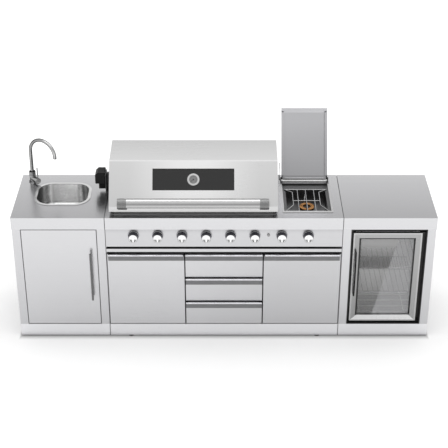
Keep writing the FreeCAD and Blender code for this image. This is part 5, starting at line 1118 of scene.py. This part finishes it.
FRONT_SKY = ((0.0, 1.0), (0.34, 0.64), (0.50, 0.56), (0.60, 0.76), (0.70, 1.04), (0.84, 1.0), (1.0, 0.8))
BACK_SKY = ((0.0, 1.0), (0.28, 1.10), (0.40, 1.05), (0.47, 0.90), (0.515, 0.68), (0.56, 0.86), (0.62, 1.10),
            (0.70, 1.0), (1.0, 0.8))
SEEN_LIFT = (0.16, 0.42)
GLOSSY_LIFT = (0.02, 0.36)
LIFT_REACH = 1.5
CAMERA_PLACE = (0, -7.10235, 4.75242)
CAMERA_TILT = 60.3
LENS = 98.44


def studio_floor():
    """A pale floor that turns white away from the object, keeps the object's shadow and has a painted
    contact shadow along the object's base.
    """
    material, tree, shader = new_material("studio_floor")
    shader.inputs["Roughness"].default_value = 0.9
    shader.inputs["Specular IOR Level"].default_value = 0.1
    shader.inputs["Emission Color"].default_value = (1, 1, 1, 1)
    across, depth, _ = place_axes(tree)
    beside = minus(tree, apart(tree, across), cad_high.x)
    beyond = minus(tree, apart(tree, depth), -cad_low.y)
    far = reach(tree, *(math_node(tree, "MAXIMUM", gap, 0.0) for gap in (beside, beyond)))
    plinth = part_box("fridge_cabinet")[1]
    sideways = times(tree, minus(tree, apart(tree, across), plinth.x), 3.0)
    close = math_node(tree, "MAXIMUM", minus(tree, apart(tree, depth), plinth.y), sideways)
    # Painted contact shadow: near the plinth the floor's colour darkens and its lift fades out
    painted_shadow_in_lift = remap(tree, close, -10 * MM, 60 * MM, 0.0, 1.0)
    painted_contact_shadow = remap(tree, close, 0.0, 45 * MM, 0.45, 1.0)
    link(tree, scale_colour(tree, grey(0.82), painted_contact_shadow), shader.inputs["Base Color"])
    path = add_node(tree, "ShaderNodeLightPath").outputs
    lift = times(tree, remap(tree, far, 0, LIFT_REACH, *SEEN_LIFT), painted_shadow_in_lift)
    seen = times(tree, path["Is Camera Ray"], lift)
    glossy = either(tree, path["Is Glossy Ray"], path["Is Transmission Ray"])
    mirrored = times(tree, glossy, remap(tree, far, 0, LIFT_REACH, *GLOSSY_LIFT))
    link(tree, plus(tree, seen, mirrored), shader.inputs["Emission Strength"])
    bpy.ops.mesh.primitive_plane_add(size=80)
    floor = bpy.context.object
    floor.name = "studio_floor"
    floor.data.materials.append(material)


def studio_world():
    """Soft grey surroundings: bright low behind the object and high in front of it."""
    world = bpy.data.worlds.new("studio")
    bpy.context.scene.world = world
    world.use_nodes = True
    tree = world.node_tree
    _, depth, height = split_axes(tree, "Generated")
    height = remap(tree, height, 0, 1, 0, 1)
    behind = remap(tree, depth, -0.25, 0.25, 0, 1)
    sky = blend_colours(tree, behind, grey_ramp(tree, height, FRONT_SKY), grey_ramp(tree, height, BACK_SKY))
    link(tree, sky, tree.nodes["Background"].inputs["Color"])


def softbox(name, place, target, width, height, radiance):
    """A rectangular lamp that points at a target and that the camera doesn't see."""
    lamp = bpy.data.lights.new(name, "AREA")
    lamp.shape = "RECTANGLE"
    lamp.size = width
    lamp.size_y = height
    lamp.energy = radiance * width * height * math.pi
    stand = bpy.data.objects.new(name, lamp)
    bpy.context.scene.collection.objects.link(stand)
    stand.location = place
    stand.rotation_euler = (Vector(target) - Vector(place)).to_track_quat("-Z", "Y").to_euler()
    stand.visible_camera = False


def studio_lights():
    softbox("hood_softbox", place=(-0.27, -2.0, 2.8), target=(-0.196, -0.17, 1.1), width=0.9, height=0.7,
            radiance=0.18)
    softbox("overhead_softbox", place=(0, -0.4, 6.0), target=(0, 0, 0), width=7.0, height=3.0, radiance=1.7)


def studio_camera():
    lens = bpy.data.cameras.new("camera")
    lens.lens = LENS
    lens.sensor_width = 36
    camera = bpy.data.objects.new("camera", lens)
    bpy.context.scene.collection.objects.link(camera)
    camera.location = CAMERA_PLACE
    camera.rotation_euler = (math.radians(CAMERA_TILT), 0, 0)
    bpy.context.scene.camera = camera


studio_floor()
studio_world()
studio_lights()
studio_camera()
bpy.context.scene.view_settings.view_transform = "Standard"
